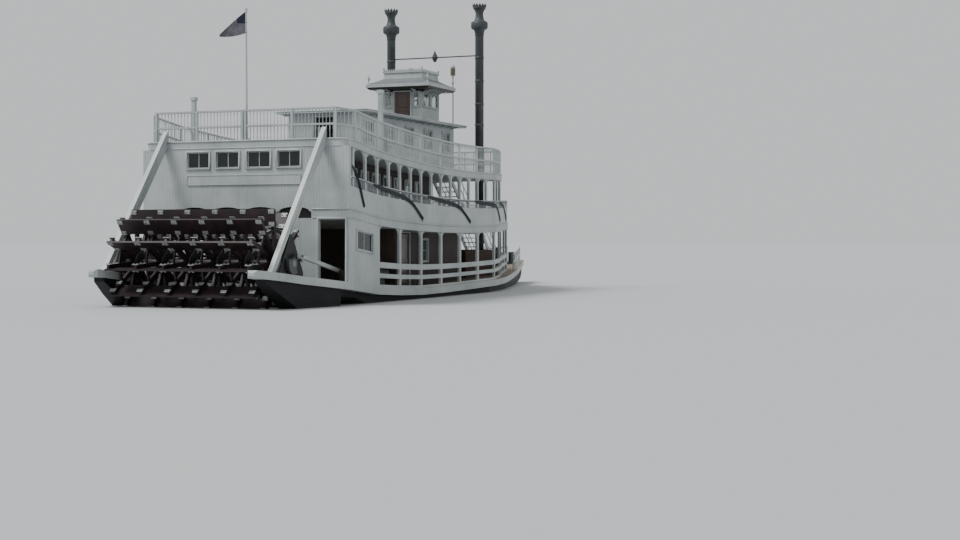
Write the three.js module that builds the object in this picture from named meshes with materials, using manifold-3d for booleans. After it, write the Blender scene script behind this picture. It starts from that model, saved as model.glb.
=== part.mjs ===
// Sternwheel paddle boat, full size, in millimetres.
// X points to the bow, Y to port, Z up from the flat bottom of the hull.
import * as THREE from 'three';
import { mergeVertices } from 'three/addons/utils/BufferGeometryUtils.js';
import Module from 'manifold-3d';

const wasm = await Module();
wasm.setup();

// Driving dimensions
const FIT = 0.3; // gap left where one piece rests on another
const RUNNING = 0.3; // gap of a pin or shaft in its bearing
const JOURNAL_SIDES = 24; // of shafts, pins and the holes they turn in
const DECK = { main: 1000, promenade: 3000, texas: 5180 }; // undersides, but the top of the main deck
const THICK = { guard: 250, promenade: 300, texas: 280 };
const STERN = -11500; // the flat stern face of the houses
const BAY = 1850; // spacing of the posts
const PROMENADE_FRONT = 8600;
const TEXAS_FRONT = 5550;
const WALL = 80;
const GANGWAY = 600; // half-width of the gaps in the rails at the stairs

const WHEEL = {
  x: -13900, z: 2030, radius: 1750, bucketDepth: 550, bucketThick: 60, halfLength: 2680,
  arms: 12, phase: 4.2, spiders: 6, spiderPitch: 1030, armWide: 150, armThick: 90,
  shaftRadius: 110, hubRadius: 300, hubLength: 220, ringRadius: 1080,
};
const BEARING = { inner: 3000, outer: 3160, apexZ: 2960, foot: 780 };
const CRANK = { inner: 3180, outer: 3280, throw: 305, radius: 360, pinRadius: 50, pinEnd: 3475 };
const CRANK_ANGLE = { starboard: 49, port: 139 }; // degrees up from straight ahead, a quarter turn apart
const PITMAN = { inner: 3320, outer: 3440, half: 60, eyeRadius: 90, length: 3465, farZ: 1600 };
const ENGINE = { x0: -11150, rodY: 3555, guideIn: 3460, guideOut: 3640, z: 1600 };
const TROUGH = { inner: 3290, outer: 3480, x0: -13950, x1: -9800, z: 450 };
const STACK = { x: 4800, y: 2100, radius: 185, baseZ: 2300, topZ: 12950, spreaderZ: 10700 };
const BOILER = { x0: 2300, x1: 5900, half: 2480, joint: 1450, doorHalf: 330, doorDepth: 60, doorTop: 1950 };
const ENGINE_HOUSE = {
  x1: -9250, x2: 700, innerHalf: 2800, aftWall: 90, bulkhead: -7560, bulkheadHalf: 3850,
};
const ENGINE_DOORWAY = { inner: 2900, outer: 3850, z1: 2950 }; // for the pitman rods
const WHEEL_OPENING = { half: 1850, z1: 2780 };
const ENGINE_WINDOW = { x0: -10930, x1: -9710, z0: 2080, z1: 2680 };
const HOUSE_WINDOW = { starts: [-6875, -3175], width: 800, z0: 1900, z1: 2750 };
const HOUSE_DOOR = { x0: -5050, x1: -4130, z1: 2950 };
const END_DOORWAY = { half: 450, z1: 2900 };
const ARCADE = {
  posts: [-7400, -5550, -3700, -1850, 0, 1850, 3700, 5550, 7400],
  postHalf: 80,
  rails: [[DECK.main + FIT, 1090], [1310, 1456], [1640, 1830]], // lower and upper height
};
const FORE_RAIL = {
  x1: 14590, outer: 110, inner: 170, posts: [8760, 9900, 11200, 12500, 13600, 14540], postHalf: 50,
  rails: [[1340, 1420], [1750, 1830]],
};
const BULWARK = { top: 4000, railLow: 4250, railTop: 4320, postHalf: 60, inner: 110, outer: 30 };
const SALOON = { x1: -1850, half: 2800 };
const SALOON_WINDOW = {
  half: 280, z0: 4000, z1: 4900, pitch: 925, margin: 700, frontY: 1700, frontHalf: 350,
};
const SALOON_DOOR = { half: 480, z1: 5000 };
const STERN_FACE = { thick: 100, z0: 5210, z1: 5770, windows: [[160, 1050], [1330, 2200]] };
const STERN_ARCH = { half: 2600, width: 1300, pier: 3720, crown: 3880, pierWidth: 110 };
const TEXAS_RAIL = {
  high: 1030, lowBar: 440, bar: 60, aft: 60, cornerX: 560, cornerY: [3480, 3920], gap: 20, postHalf: 40,
};
const CABIN = {
  x0: -5600, x1: 3300, half: 1500, wall: 60, roofZ: 7500, aftEave: 250, foreEave: 500, sideEave: 400,
};
const CABIN_WINDOW = { half: 380, z0: 6420, z1: 7220, first: 700, margin: 700 };
const CABIN_DOOR = { half: 400, sill: 130, z1: 7350 };
const PILOTHOUSE = { x: 2300, half: 890, floorZ: 7600, eaveZ: 9000, wall: 50 };
const PILOT_WINDOW = { near: 60, far: 770, aftNear: 480, z0: 8300, z1: 8880 };
const PILOT_DOOR = { half: 350, z1: 8890 };
const SHIPS_WHEEL = { x: 2900, z: 8250, radius: 520, grip: 90 };
const LEAF = { thick: 45, edgeGap: 9, pivotIn: 28, pivotBack: 11, pinRadius: 10, underGap: 25, overGap: 12 };
const RUDDER = { x: -11100, y: 1600, chordAft: 620, chordFore: 560, z0: 90, z1: 560, stock: 45, top: 700 };
const BRACE = {
  aftFoot: [-15150, -14930], aftTop: [6250, 6520], foreFoot: [-13950, -13850], foreTop: [5950, 6310],
};
const HOG_POST = { x0: -8670, x1: -8530, inner: 3700, outer: 3840, topZ: 7900, capHigh: 70, capLap: 30 };
const FLAGSTAFF = { x: -11260, topZ: 10600, radius: 45, tipRadius: 22 };
const ENSIGN = {
  heading: 120, // degrees from straight ahead to port, the way the breeze lays it
  thick: 24,
  outline: [[26.5, 10540], [26.5, 9780], [890, 9640], [915, 9710], [110, 10540]], // off the staff, height
};
const SIGNAL_MAST = { x: 5360, y: -620, radius: 35, topZ: 10450 };
const CAPSTAN_X = 12300;
const BITTS = { x0: 13160, x1: 13740, posts: [13250, 13650], y: 330, postHalf: 70, topZ: 2120 };
const MAIN_STAIR = { foot: 10900, half: 550, steps: 10 };
const TEXAS_STAIR = { foot: 7950, half: 430, steps: 10 };

// Rounded stern corners of the texas deck, in metres: half-breadth at x
const CORNERS = [[-11.5, 3.68], [-11.4, 3.85], [-11.25, 3.95], [-11.05, 4.0]];

// Bunting along the outside of the promenade rail, in metres: a line follows the rail, and a strip slants
// forward from each knot to a free end, as listed by share of the way to the next knot and height of its
// middle over the rail
const BUNTING = {
  knots: [-11.2, -9.6, -4.975, -0.35, 4.275, 8.4],
  railTop: 4.32,
  high: 0.16,
  line: { low: -0.065, high: -0.035 },
  firstDrop: [[0, 0.3], [0.28, -0.1], [0.56, -0.85]],
  drop: [[0, -0.05], [0.25, -0.13], [0.5, -0.21], [0.66, -0.34], [0.78, -0.58], [0.9, -0.9]],
};

const toRadians = THREE.MathUtils.degToRad;

// Stations along the boat, in metres: half-breadth of the main deck's guard, half-breadth
// of the decks above, and how far the sheer lifts the main, promenade and texas decks there
const STATIONS = [
  // x, guard, house, main, promenade, texas
  [-16.0, 3.05, 4.0, 0.86, 0.86, 0.86],
  [-15.7, 3.22, 4.0, 0.83, 0.83, 0.83],
  [-14.8, 3.45, 4.0, 0.73, 0.73, 0.73],
  [-13.9, 3.62, 4.0, 0.62, 0.62, 0.70],
  [-12.7, 3.85, 4.0, 0.50, 0.55, 0.70],
  [-11.5, 4.05, 4.0, 0.38, 0.50, 0.70],
  [-9.25, 4.05, 4.0, 0.14, 0.25, 0.40],
  [-7.4, 4.05, 4.0, 0.05, 0.14, 0.25],
  [-5.55, 4.05, 4.0, 0.0, 0.07, 0.13],
  [-3.7, 4.05, 4.0, 0.01, 0.03, 0.04],
  [-1.85, 4.05, 4.0, 0.04, 0.01, 0.0],
  [0, 4.05, 4.0, 0.08, 0.02, 0.0],
  [1.85, 4.05, 4.0, 0.12, 0.05, 0.02],
  [3.7, 3.75, 3.5, 0.17, 0.09, 0.06],
  [5.55, 3.25, 2.85, 0.22, 0.13, 0.11],
  [7.4, 2.72, 2.3, 0.28, 0.18, 0.17],
  [9.25, 2.18, 1.8, 0.35, 0.24, 0.22],
  [11.1, 1.6, 1.5, 0.43, 0.3, 0.3],
  [12.9, 1.02, 1.0, 0.52, 0.4, 0.4],
  [14.5, 0.5, 0.5, 0.61, 0.5, 0.5],
  [15.75, 0.12, 0.1, 0.68, 0.6, 0.6],
  [16.0, 0.03, 0.03, 0.7, 0.6, 0.6],
];

// The hull below the guard, in metres: height of its bottom, half-breadth at the bottom and top
const HULL = [
  // x, bottom, bilge, side
  [-11.9, 0.7, 3.3, 3.66],
  [-10.6, 0.7, 3.35, 3.72],
  [-8.6, 0.0, 3.35, 3.72],
  [1.85, 0.0, 3.35, 3.72],
  [5.55, 0.0, 2.6, 3.0],
  [9.25, 0.0, 1.5, 1.95],
  [12.9, 0.14, 0.5, 0.82],
  [14.5, 0.45, 0.14, 0.32],
  [15.5, 0.8, 0.04, 0.1],
];

// Value of one column of a table at x, straight between its rows, in millimetres
function column(rows, index) {
  return (x) => {
    const metres = x / 1000;
    const next = rows.findIndex((row) => row[0] >= metres);
    if (next <= 0) return (next === 0 ? rows[0] : rows[rows.length - 1])[index] * 1000;
    const [low, high] = [rows[next - 1], rows[next]];
    const share = (metres - low[0]) / (high[0] - low[0]);
    return (low[index] + (high[index] - low[index]) * share) * 1000;
  };
}

const guardHalf = column(STATIONS, 1);
const houseHalf = column(STATIONS, 2);
const sheer = [3, 4, 5].map((index) => column(STATIONS, index));

// Real height of a point that is drawn at height z on a boat with level decks
function lift(x, z) {
  const [main, promenade, texas] = sheer.map((rise) => rise(x));
  if (z <= DECK.main) return z + main;
  if (z >= DECK.texas) return z + texas;
  if (z <= DECK.promenade) {
    return z + THREE.MathUtils.mapLinear(z, DECK.main, DECK.promenade, main, promenade);
  }
  return z + THREE.MathUtils.mapLinear(z, DECK.promenade, DECK.texas, promenade, texas);
}

// Solid from loose triangles, with faces pointing out
function solidOf(positions, triangles) {
  let volume = 0;
  const [a, b, c] = [new THREE.Vector3(), new THREE.Vector3(), new THREE.Vector3()];
  for (const [i, j, k] of triangles) {
    a.fromArray(positions, i * 3);
    b.fromArray(positions, j * 3);
    c.fromArray(positions, k * 3);
    volume += a.dot(b.cross(c));
  }
  const outward = volume < 0 ? triangles.map(([i, j, k]) => [i, k, j]) : triangles;
  return new wasm.Manifold(new wasm.Mesh({
    numProp: 3,
    vertProperties: new Float32Array(positions),
    triVerts: new Uint32Array(outward.flat()),
  }));
}

// Solid from one of the library's closed geometries
function fromGeometry(geometry) {
  geometry.deleteAttribute('normal');
  geometry.deleteAttribute('uv');
  const merged = mergeVertices(geometry, 0.01);
  const index = Array.from(merged.index.array);
  const triangles = [];
  for (let i = 0; i < index.length; i += 3) {
    const [p, q, r] = index.slice(i, i + 3);
    if (p !== q && q !== r && r !== p) triangles.push([p, q, r]);
  }
  return solidOf(Array.from(merged.attributes.position.array), triangles);
}

// Closed solid through rings of points that all have the same count
function loft(rings) {
  const count = rings[0].length;
  const positions = rings.flat(2);
  const triangles = [];
  for (let ring = 0; ring + 1 < rings.length; ring += 1) {
    for (let i = 0; i < count; i += 1) {
      const [p, q] = [ring * count + i, ring * count + ((i + 1) % count)];
      triangles.push([p, q, q + count], [p, q + count, p + count]);
    }
  }
  for (const ring of [0, rings.length - 1]) {
    for (const cap of capTriangles(rings[ring])) {
      const face = cap.map((i) => ring * count + i);
      triangles.push(ring === 0 ? face.reverse() : face);
    }
  }
  return solidOf(positions, triangles);
}

// Triangles that fill one flat ring, turning the way the ring runs
function capTriangles(ring) {
  const points = ring.map((point) => new THREE.Vector3(...point));
  const normal = new THREE.Vector3();
  points.forEach((point, i) => {
    normal.add(new THREE.Vector3().crossVectors(point, points[(i + 1) % points.length]));
  });
  const turn = new THREE.Quaternion().setFromUnitVectors(normal.normalize(), new THREE.Vector3(0, 0, 1));
  const flat = points.map((point) => point.clone().applyQuaternion(turn));
  return THREE.ShapeUtils.triangulateShape(flat.map((point) => new THREE.Vector2(point.x, point.y)), []);
}

const join = (...solids) => wasm.Manifold.union(solids.flat());
const both = [['starboard', -1], ['port', 1]];

const block = (x0, x1, y0, y1, z0, z1) => fromGeometry(
  new THREE.BoxGeometry(x1 - x0, y1 - y0, z1 - z0)
    .translate((x0 + x1) / 2, (y0 + y1) / 2, (z0 + z1) / 2),
);

// The same on one side of the boat, measured outward from the centreline
const sideBlock = (side, x0, x1, inner, outer, z0, z1) => block(
  x0, x1, Math.min(side * inner, side * outer), Math.max(side * inner, side * outer), z0, z1,
);

// Round bar between two points; corners start upward, or at a given angle
function bar(from, to, radius, sides = 12, farRadius = radius) {
  const [start, end] = [new THREE.Vector3(...from), new THREE.Vector3(...to)];
  const along = end.clone().sub(start);
  const geometry = new THREE.CylinderGeometry(farRadius, radius, along.length(), sides);
  geometry.applyQuaternion(new THREE.Quaternion().setFromUnitVectors(
    new THREE.Vector3(0, 1, 0), along.clone().normalize(),
  ));
  geometry.translate(...start.add(end).multiplyScalar(0.5).toArray());
  return fromGeometry(geometry);
}

// Flat plate with its outline in X and Z, between two widths
function plate(outline, y0, y1) {
  return loft([y0, y1].map((y) => outline.map(([x, z]) => [x, y, z])));
}

// Turned piece about an upright axis, from [radius, height] points
function turned(x, y, profile, sides = 16) {
  const geometry = new THREE.LatheGeometry(profile.map(([r, z]) => new THREE.Vector2(r, z)), sides);
  return fromGeometry(geometry.rotateX(Math.PI / 2).translate(x, y, 0));
}

const value = (amount, x) => (typeof amount === 'function' ? amount(x) : amount);
const stationsBetween = (x0, x1, rows = STATIONS) => [
  x0, ...rows.map((row) => row[0] * 1000).filter((x) => x > x0 + 1 && x < x1 - 1), x1,
];

// Long piece with a rectangular section that follows the sheer, and any side that is a function of x
function strake(x0, x1, y0, y1, z0, z1, extra = []) {
  return loft([...stationsBetween(x0, x1), ...extra].sort((a, b) => a - b).map((x) => {
    const [left, right] = [value(y0, x), value(y1, x)];
    const [low, high] = [lift(x, value(z0, x)), lift(x, value(z1, x))];
    return [[x, left, low], [x, right, low], [x, right, high], [x, left, high]];
  }));
}

// The same on one side of the boat, measured outward from the centreline
const sideStrake = (side, x0, x1, inner, outer, z0, z1) => strake(
  x0, x1, (x) => side * value(inner, x), (x) => side * value(outer, x), z0, z1,
);

const inboard = (distance) => (x) => houseHalf(x) - distance;

// Trims the foot of a solid to the sloping deck that it stands on
const seated = (solid, x, y, reach, level) => solid.subtract(
  strake(x - reach, x + reach, y - reach, y + reach, level - 500, level + FIT),
);

const COLOURS = {
  white: [0xe6e4dc, 0.6], black: [0x17181a, 0.55], deck: [0x8c8273, 0.8], wheel: [0x4a1a1b, 0.6],
  iron: [0x232426, 0.5], steel: [0x8d8f92, 0.35], brass: [0xb08d3e, 0.35], brick: [0x6b3a2e, 0.85],
  flag: [0x3a3f52, 0.9], door: [0x5a3a24, 0.6],
};
const METALS = ['iron', 'steel', 'brass'];
const materials = Object.fromEntries(Object.entries(COLOURS).map(([name, [color, roughness]]) => [
  name, new THREE.MeshStandardMaterial({ color, roughness, metalness: METALS.includes(name) ? 0.8 : 0 }),
]));

const boat = new THREE.Group();

function addPiece(name, colour, solid) {
  const { vertProperties, triVerts } = solid.getMesh();
  const geometry = new THREE.BufferGeometry();
  geometry.setAttribute('position', new THREE.BufferAttribute(vertProperties, 3));
  geometry.setIndex(new THREE.BufferAttribute(triVerts, 1));
  const mesh = new THREE.Mesh(geometry, materials[colour]);
  mesh.name = name;
  boat.add(mesh);
}

// Pitman trough on one side, cut out of everything below the rods
const trough = (side) => sideStrake(side, TROUGH.x0, TROUGH.x1, TROUGH.inner, TROUGH.outer, TROUGH.z, 1600);

function addHull() {
  const [bottom, bilge, top] = [1, 2, 3].map((index) => column(HULL, index));
  const [x0, x1] = [HULL[0][0] * 1000, HULL[HULL.length - 1][0] * 1000];
  const xs = [...new Set([...stationsBetween(x0, x1), ...stationsBetween(x0, x1, HULL)])];
  const rings = xs.sort((a, b) => a - b).map((x) => {
    const [low, high] = [bottom(x), lift(x, DECK.main - THICK.guard) - FIT];
    const knuckle = low + (high - low) * 0.45;
    return [
      [x, -bilge(x), low], [x, bilge(x), low], [x, top(x), knuckle], [x, top(x), high],
      [x, -top(x), high], [x, -top(x), knuckle],
    ];
  });
  addPiece('hull', 'black', loft(rings).subtract(join(both.map(([, side]) => trough(side)))));
}

function addMainDeck() {
  const slab = strake(STERN, 16000, (x) => -guardHalf(x), guardHalf, DECK.main - THICK.guard, DECK.main);
  addPiece('main_deck', 'deck', slab.subtract(join(both.map(([, side]) => trough(side)))));
  for (const [name, side] of both) {
    const guard = sideStrake(
      side, -15900, STERN - FIT, 2750, guardHalf, DECK.main - THICK.guard, DECK.main,
    );
    const nose = loft([[-15900, 0, 0], [-16000, 90, 80]].map(([x, cut, trim]) => {
      const [low, high] = [lift(-15900, DECK.main - THICK.guard) + trim, lift(-15900, DECK.main) - trim];
      const [inner, outer] = [2750 + cut, guardHalf(-15900) - cut];
      return [
        [x, side * inner, low], [x, side * outer, low], [x, side * outer, high], [x, side * inner, high],
      ];
    }));
    addPiece(`fantail_guard_${name}`, 'white', join(guard, nose).subtract(trough(side)));

    const keel = column([[-15.5, 0.62], [-14.6, 0.18], [-13.9, -0.12], [-11.5, 0.02]], 1);
    const beam = sideStrake(
      side, -15500, HULL[0][0] * 1000 - FIT, 2790, (x) => guardHalf(x) - 90,
      keel, DECK.main - THICK.guard - FIT,
    );
    addPiece(`wheel_beam_${name}`, 'black', beam.subtract(trough(side)));
  }
}

function addRudders() {
  for (const [name, side] of both) {
    const y = side * RUDDER.y;
    const blade = plate([
      [RUDDER.x - RUDDER.chordAft, RUDDER.z0], [RUDDER.x + RUDDER.chordFore, RUDDER.z0],
      [RUDDER.x + RUDDER.chordFore, RUDDER.z1], [RUDDER.x - RUDDER.chordAft, RUDDER.z1],
    ], y - 30, y + 30);
    const stock = bar([RUDDER.x, y, RUDDER.z0 + 10], [RUDDER.x, y, RUDDER.top - RUNNING], RUDDER.stock);
    addPiece(`rudder_${name}`, 'iron', join(blade, stock));
  }
}

// Turns a solid about a crosswise axis
const rolled = (solid, x, z, angle) => (
  solid.translate([-x, 0, -z]).rotate([0, angle, 0]).translate([x, 0, z])
);

// Crosswise shaft, whose corners stand over the flats of the hole that it turns in
const journal = (x, z, y0, y1, radius) => rolled(
  bar([x, y0, z], [x, y1, z], radius, JOURNAL_SIDES), x, z, 180 / JOURNAL_SIDES,
);

// Crosswise hole for a journal of the same radius
const journalHole = (x, z, y0, y1, radius) => bar(
  [x, y0, z], [x, y1, z], (radius + RUNNING) / Math.cos(Math.PI / JOURNAL_SIDES), JOURNAL_SIDES,
);

function addPaddleWheel() {
  const { x, z } = WHEEL;
  const turn = (solid, angle) => rolled(solid, x, z, angle);
  const parts = [journal(x, z, -CRANK.outer, CRANK.outer, WHEEL.shaftRadius)];
  const arm = (y) => block(x, x + WHEEL.radius - 60, y - WHEEL.armThick / 2, y + WHEEL.armThick / 2,
    z - WHEEL.armWide / 2, z + WHEEL.armWide / 2);
  const bucket = block(x + WHEEL.radius - WHEEL.bucketDepth, x + WHEEL.radius, -WHEEL.halfLength,
    WHEEL.halfLength, z + WHEEL.armWide / 2 - 20, z + WHEEL.armWide / 2 - 20 + WHEEL.bucketThick);
  for (let i = 0; i < WHEEL.arms; i += 1) {
    parts.push(turn(bucket, -(WHEEL.phase + (i * 360) / WHEEL.arms)));
  }
  for (let k = 0; k < WHEEL.spiders; k += 1) {
    const y = (k - (WHEEL.spiders - 1) / 2) * WHEEL.spiderPitch;
    parts.push(bar([x, y - WHEEL.hubLength / 2, z], [x, y + WHEEL.hubLength / 2, z], WHEEL.hubRadius, 12));
    const rim = bar([x, y - 30, z], [x, y + 30, z], WHEEL.ringRadius + 40, WHEEL.arms);
    parts.push(rim.subtract(bar([x, y - 50, z], [x, y + 50, z], WHEEL.ringRadius - 40, WHEEL.arms)));
    for (let i = 0; i < WHEEL.arms; i += 1) {
      parts.push(turn(arm(y), -(WHEEL.phase + (i * 360) / WHEEL.arms)));
    }
  }
  addPiece('paddle_wheel', 'wheel', join(parts));
}

function addCrankGear() {
  const { x, z } = WHEEL;
  for (const [name, side] of both) {
    const aim = toRadians(CRANK_ANGLE[name]);
    const [pinX, pinZ] = [x + CRANK.throw * Math.cos(aim), z + CRANK.throw * Math.sin(aim)];
    const farX = pinX + Math.sqrt(PITMAN.length ** 2 - (pinZ - PITMAN.farZ) ** 2);
    const across = (from, to, radius, sides, px = x, pz = z) => bar(
      [px, side * from, pz], [px, side * to, pz], radius, sides,
    );

    const standTop = (px) => THREE.MathUtils.mapLinear(
      Math.abs(px - x), 60, BEARING.foot, BEARING.apexZ, lift(x, DECK.main) + 120,
    );
    const footXs = [x - BEARING.foot, x - 60, x, x + 60, x + BEARING.foot];
    const stand = loft(footXs.map((px) => {
      const [low, high] = [lift(px, DECK.main) + FIT, Math.min(standTop(px), BEARING.apexZ)];
      return [
        [px, side * BEARING.inner, low], [px, side * BEARING.outer, low],
        [px, side * BEARING.outer, high], [px, side * BEARING.inner, high],
      ];
    }));
    const [boreIn, boreOut] = [side * (BEARING.inner - 50), side * (BEARING.outer + 50)];
    const bore = journalHole(x, z, boreIn, boreOut, WHEEL.shaftRadius);
    const cap = across(BEARING.inner, BEARING.outer, 240, 16);
    addPiece(`bearing_stand_${name}`, 'iron', join(stand, cap).subtract(bore));

    const sector = [];
    for (let degrees = -75; degrees <= 75; degrees += 15) {
      const angle = aim + Math.PI + toRadians(degrees);
      sector.push([x + CRANK.radius * Math.cos(angle), z + CRANK.radius * Math.sin(angle)]);
    }
    sector.push([x - 130 * Math.sin(aim), z + 130 * Math.cos(aim)]);
    sector.splice(sector.length - 1, 0, [x + 130 * Math.sin(aim), z - 130 * Math.cos(aim)]);
    const web = [
      [x - 110 * Math.sin(aim), z + 110 * Math.cos(aim)], [x + 110 * Math.sin(aim), z - 110 * Math.cos(aim)],
      [pinX + 80 * Math.sin(aim), pinZ - 80 * Math.cos(aim)],
      [pinX - 80 * Math.sin(aim), pinZ + 80 * Math.cos(aim)],
    ];
    const [webIn, webOut] = [side * CRANK.inner, side * CRANK.outer];
    const crank = join(
      plate(sector, webIn, webOut), plate(web, webIn, webOut),
      across(CRANK.inner, CRANK.outer, 190, 16),
      across(CRANK.inner, CRANK.outer, 80, 12, pinX, pinZ),
      journal(pinX, pinZ, side * (CRANK.inner + 10), side * CRANK.pinEnd, CRANK.pinRadius),
    ).subtract(journal(x, z, side * (CRANK.inner - 50), side * (CRANK.outer + 50), WHEEL.shaftRadius + FIT));
    addPiece(`crank_${name}`, 'iron', crank);

    const slope = Math.atan2(PITMAN.farZ - pinZ, farX - pinX);
    const offset = [-PITMAN.half * Math.sin(slope), PITMAN.half * Math.cos(slope)];
    const rod = plate([
      [pinX + offset[0], pinZ + offset[1]], [pinX - offset[0], pinZ - offset[1]],
      [farX - offset[0], PITMAN.farZ - offset[1]], [farX + offset[0], PITMAN.farZ + offset[1]],
    ], side * PITMAN.inner, side * PITMAN.outer);
    const eye = (px, pz) => across(PITMAN.inner, PITMAN.outer, PITMAN.eyeRadius, 16, px, pz);
    const hole = (px, pz) => journalHole(
      px, pz, side * (PITMAN.inner - 50), side * (PITMAN.outer + 50), CRANK.pinRadius,
    );
    addPiece(`pitman_${name}`, 'white', join(rod, eye(pinX, pinZ), eye(farX, PITMAN.farZ))
      .subtract(join(hole(pinX, pinZ), hole(farX, PITMAN.farZ))));

    addEngine(name, side, farX);
  }
}

// Steam cylinder with its piston rod and crosshead beside the pitman's far eye
function addEngine(name, side, farX) {
  const { rodY, guideIn, guideOut, z } = ENGINE;
  const round = (x0, x1, radius, sides) => bar([x0, side * rodY, z], [x1, side * rodY, z], radius, sides);
  const slab = (x0, x1, inner, outer, z0, z1) => plate(
    [[x0, z0], [x1, z0], [x1, z1], [x0, z1]], side * inner, side * outer,
  );
  const seat = (x0, x1, inner, outer, z1) => sideStrake(side, x0, x1, inner, outer, DECK.main + FIT, z1);
  addPiece(`engine_${name}`, 'iron', join(
    round(-9150, -8000, 260, 12),
    round(-9230, -9140, 300, 12),
    round(farX, -9140, 35, 8),
    seat(-8950, -8200, rodY - 180, rodY + 180, 1400),
    slab(farX - 110, farX + 110, guideIn, guideOut, z - 120, z + 120),
    slab(ENGINE.x0, -9180, guideIn, guideOut, z - 160, z - 110),
    slab(ENGINE.x0, -9180, guideIn, guideOut, z + 110, z + 160),
    seat(ENGINE.x0, ENGINE.x0 + 120, guideIn, guideOut, 1150),
    slab(ENGINE.x0, ENGINE.x0 + 120, guideIn, guideOut, 1400, z + 120),
  ));
}

function addMainHouses() {
  const [low, high, sill] = [DECK.main + FIT, DECK.promenade - FIT, DECK.main - 50];
  const wall = (x0, x1, y0, y1, z0 = low, z1 = high) => strake(x0, x1, y0, y1, z0, z1);
  const out = (side, x0, x1, inner, outer, z0 = low, z1 = high) => sideStrake(
    side, x0, x1, inner, outer, z0, z1,
  );
  const onBoth = (make) => both.map(([, side]) => make(side)).flat();
  const [aftIn, beam] = [STERN + ENGINE_HOUSE.aftWall, houseHalf(STERN)];

  const roomWalls = onBoth((side) => [out(side, STERN, ENGINE_HOUSE.x1, beam - WALL, beam)]);
  const { x0: windowAft, x1: windowFore, z0: windowLow, z1: windowHigh } = ENGINE_WINDOW;
  const roomCuts = onBoth((side) => [
    out(side, STERN - 50, aftIn + 50, ENGINE_DOORWAY.inner, ENGINE_DOORWAY.outer, sill, ENGINE_DOORWAY.z1),
    out(side, windowAft, windowFore, beam - 2 * WALL, beam + WALL, windowLow, windowHigh),
  ]);
  roomCuts.push(wall(
    STERN - 50, aftIn + 50, -WHEEL_OPENING.half, WHEEL_OPENING.half, sill, WHEEL_OPENING.z1,
  ));
  const room = join(roomWalls, wall(STERN, aftIn, -beam, beam));
  addPiece('engine_room_walls', 'white', room.subtract(join(roomCuts)));

  const { innerHalf, bulkhead, bulkheadHalf, x2: houseEnd } = ENGINE_HOUSE;
  const houseWalls = onBoth((side) => [out(side, bulkhead, houseEnd, innerHalf - WALL, innerHalf)]);
  houseWalls.push(
    wall(bulkhead, bulkhead + WALL, -bulkheadHalf, bulkheadHalf),
    wall(houseEnd - WALL, houseEnd, -innerHalf, innerHalf),
  );
  const through = (side, x0, x1, z0, z1) => out(side, x0, x1, innerHalf - 2 * WALL, innerHalf + WALL, z0, z1);
  const houseCuts = onBoth((side) => [
    ...HOUSE_WINDOW.starts.map((x) => through(
      side, x, x + HOUSE_WINDOW.width, HOUSE_WINDOW.z0, HOUSE_WINDOW.z1,
    )),
    through(side, HOUSE_DOOR.x0, HOUSE_DOOR.x1, sill, HOUSE_DOOR.z1),
  ]);
  for (const x of [bulkhead, houseEnd - WALL]) {
    houseCuts.push(wall(x - 50, x + WALL + 50, -END_DOORWAY.half, END_DOORWAY.half, sill, END_DOORWAY.z1));
  }
  addPiece('deck_house', 'white', join(houseWalls).subtract(join(houseCuts)));
}

function addArcades() {
  const [x0, x1] = [ENGINE_HOUSE.x1 + FIT, PROMENADE_FRONT - 100];
  const { postHalf } = ARCADE;
  for (const [name, side] of both) {
    const bars = ARCADE.rails.map(([z0, z1]) => sideStrake(side, x0, x1, inboard(120), inboard(30), z0, z1));
    const uprights = [...ARCADE.posts, x0 + postHalf, x1 - postHalf].map((x) => sideStrake(
      side, x - postHalf, x + postHalf, inboard(120), inboard(30), DECK.main + FIT, DECK.promenade - FIT,
    ));
    addPiece(`main_arcade_${name}`, 'white', join(bars, uprights));

    const [inner, outer] = [(x) => guardHalf(x) - FORE_RAIL.inner, (x) => guardHalf(x) - FORE_RAIL.outer];
    const { x1: foreX1, posts, postHalf: half, rails } = FORE_RAIL;
    const foreBars = rails.map(([z0, z1]) => sideStrake(side, posts[0] - half, foreX1, inner, outer, z0, z1));
    const forePosts = posts.map((x) => sideStrake(
      side, x - half, x + half, inner, outer, DECK.main + FIT, rails[1][1],
    ));
    addPiece(`foredeck_rail_${name}`, 'white', join(foreBars, forePosts));
  }
}

const stackHole = (side, z0, z1) => bar(
  [STACK.x, side * STACK.y, z0], [STACK.x, side * STACK.y, z1], STACK.radius + FIT, 16,
);

const cornerHalf = column(CORNERS, 1);

function addDecks() {
  const holes = join(both.map(([, side]) => stackHole(side, 2500, 7000)));
  const promenadeTop = DECK.promenade + THICK.promenade;
  const texasTop = DECK.texas + THICK.texas;
  const corner = CORNERS.map(([x]) => x * 1000).slice(1);
  const texasHalf = (x) => Math.min(houseHalf(x), cornerHalf(x));
  const notch = block(
    STERN - 50, STERN + STERN_FACE.thick + FIT, -STERN_ARCH.half, STERN_ARCH.half,
    STERN_ARCH.pier - 500, STERN_ARCH.crown,
  );
  addPiece('promenade_deck', 'white', strake(
    STERN, PROMENADE_FRONT, (x) => -houseHalf(x), houseHalf, DECK.promenade, promenadeTop,
  ).subtract(join(holes, notch)));
  addPiece('texas_deck', 'white', strake(
    STERN, TEXAS_FRONT, (x) => -texasHalf(x), texasHalf, DECK.texas, texasTop, corner,
  ).subtract(holes));
}

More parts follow.
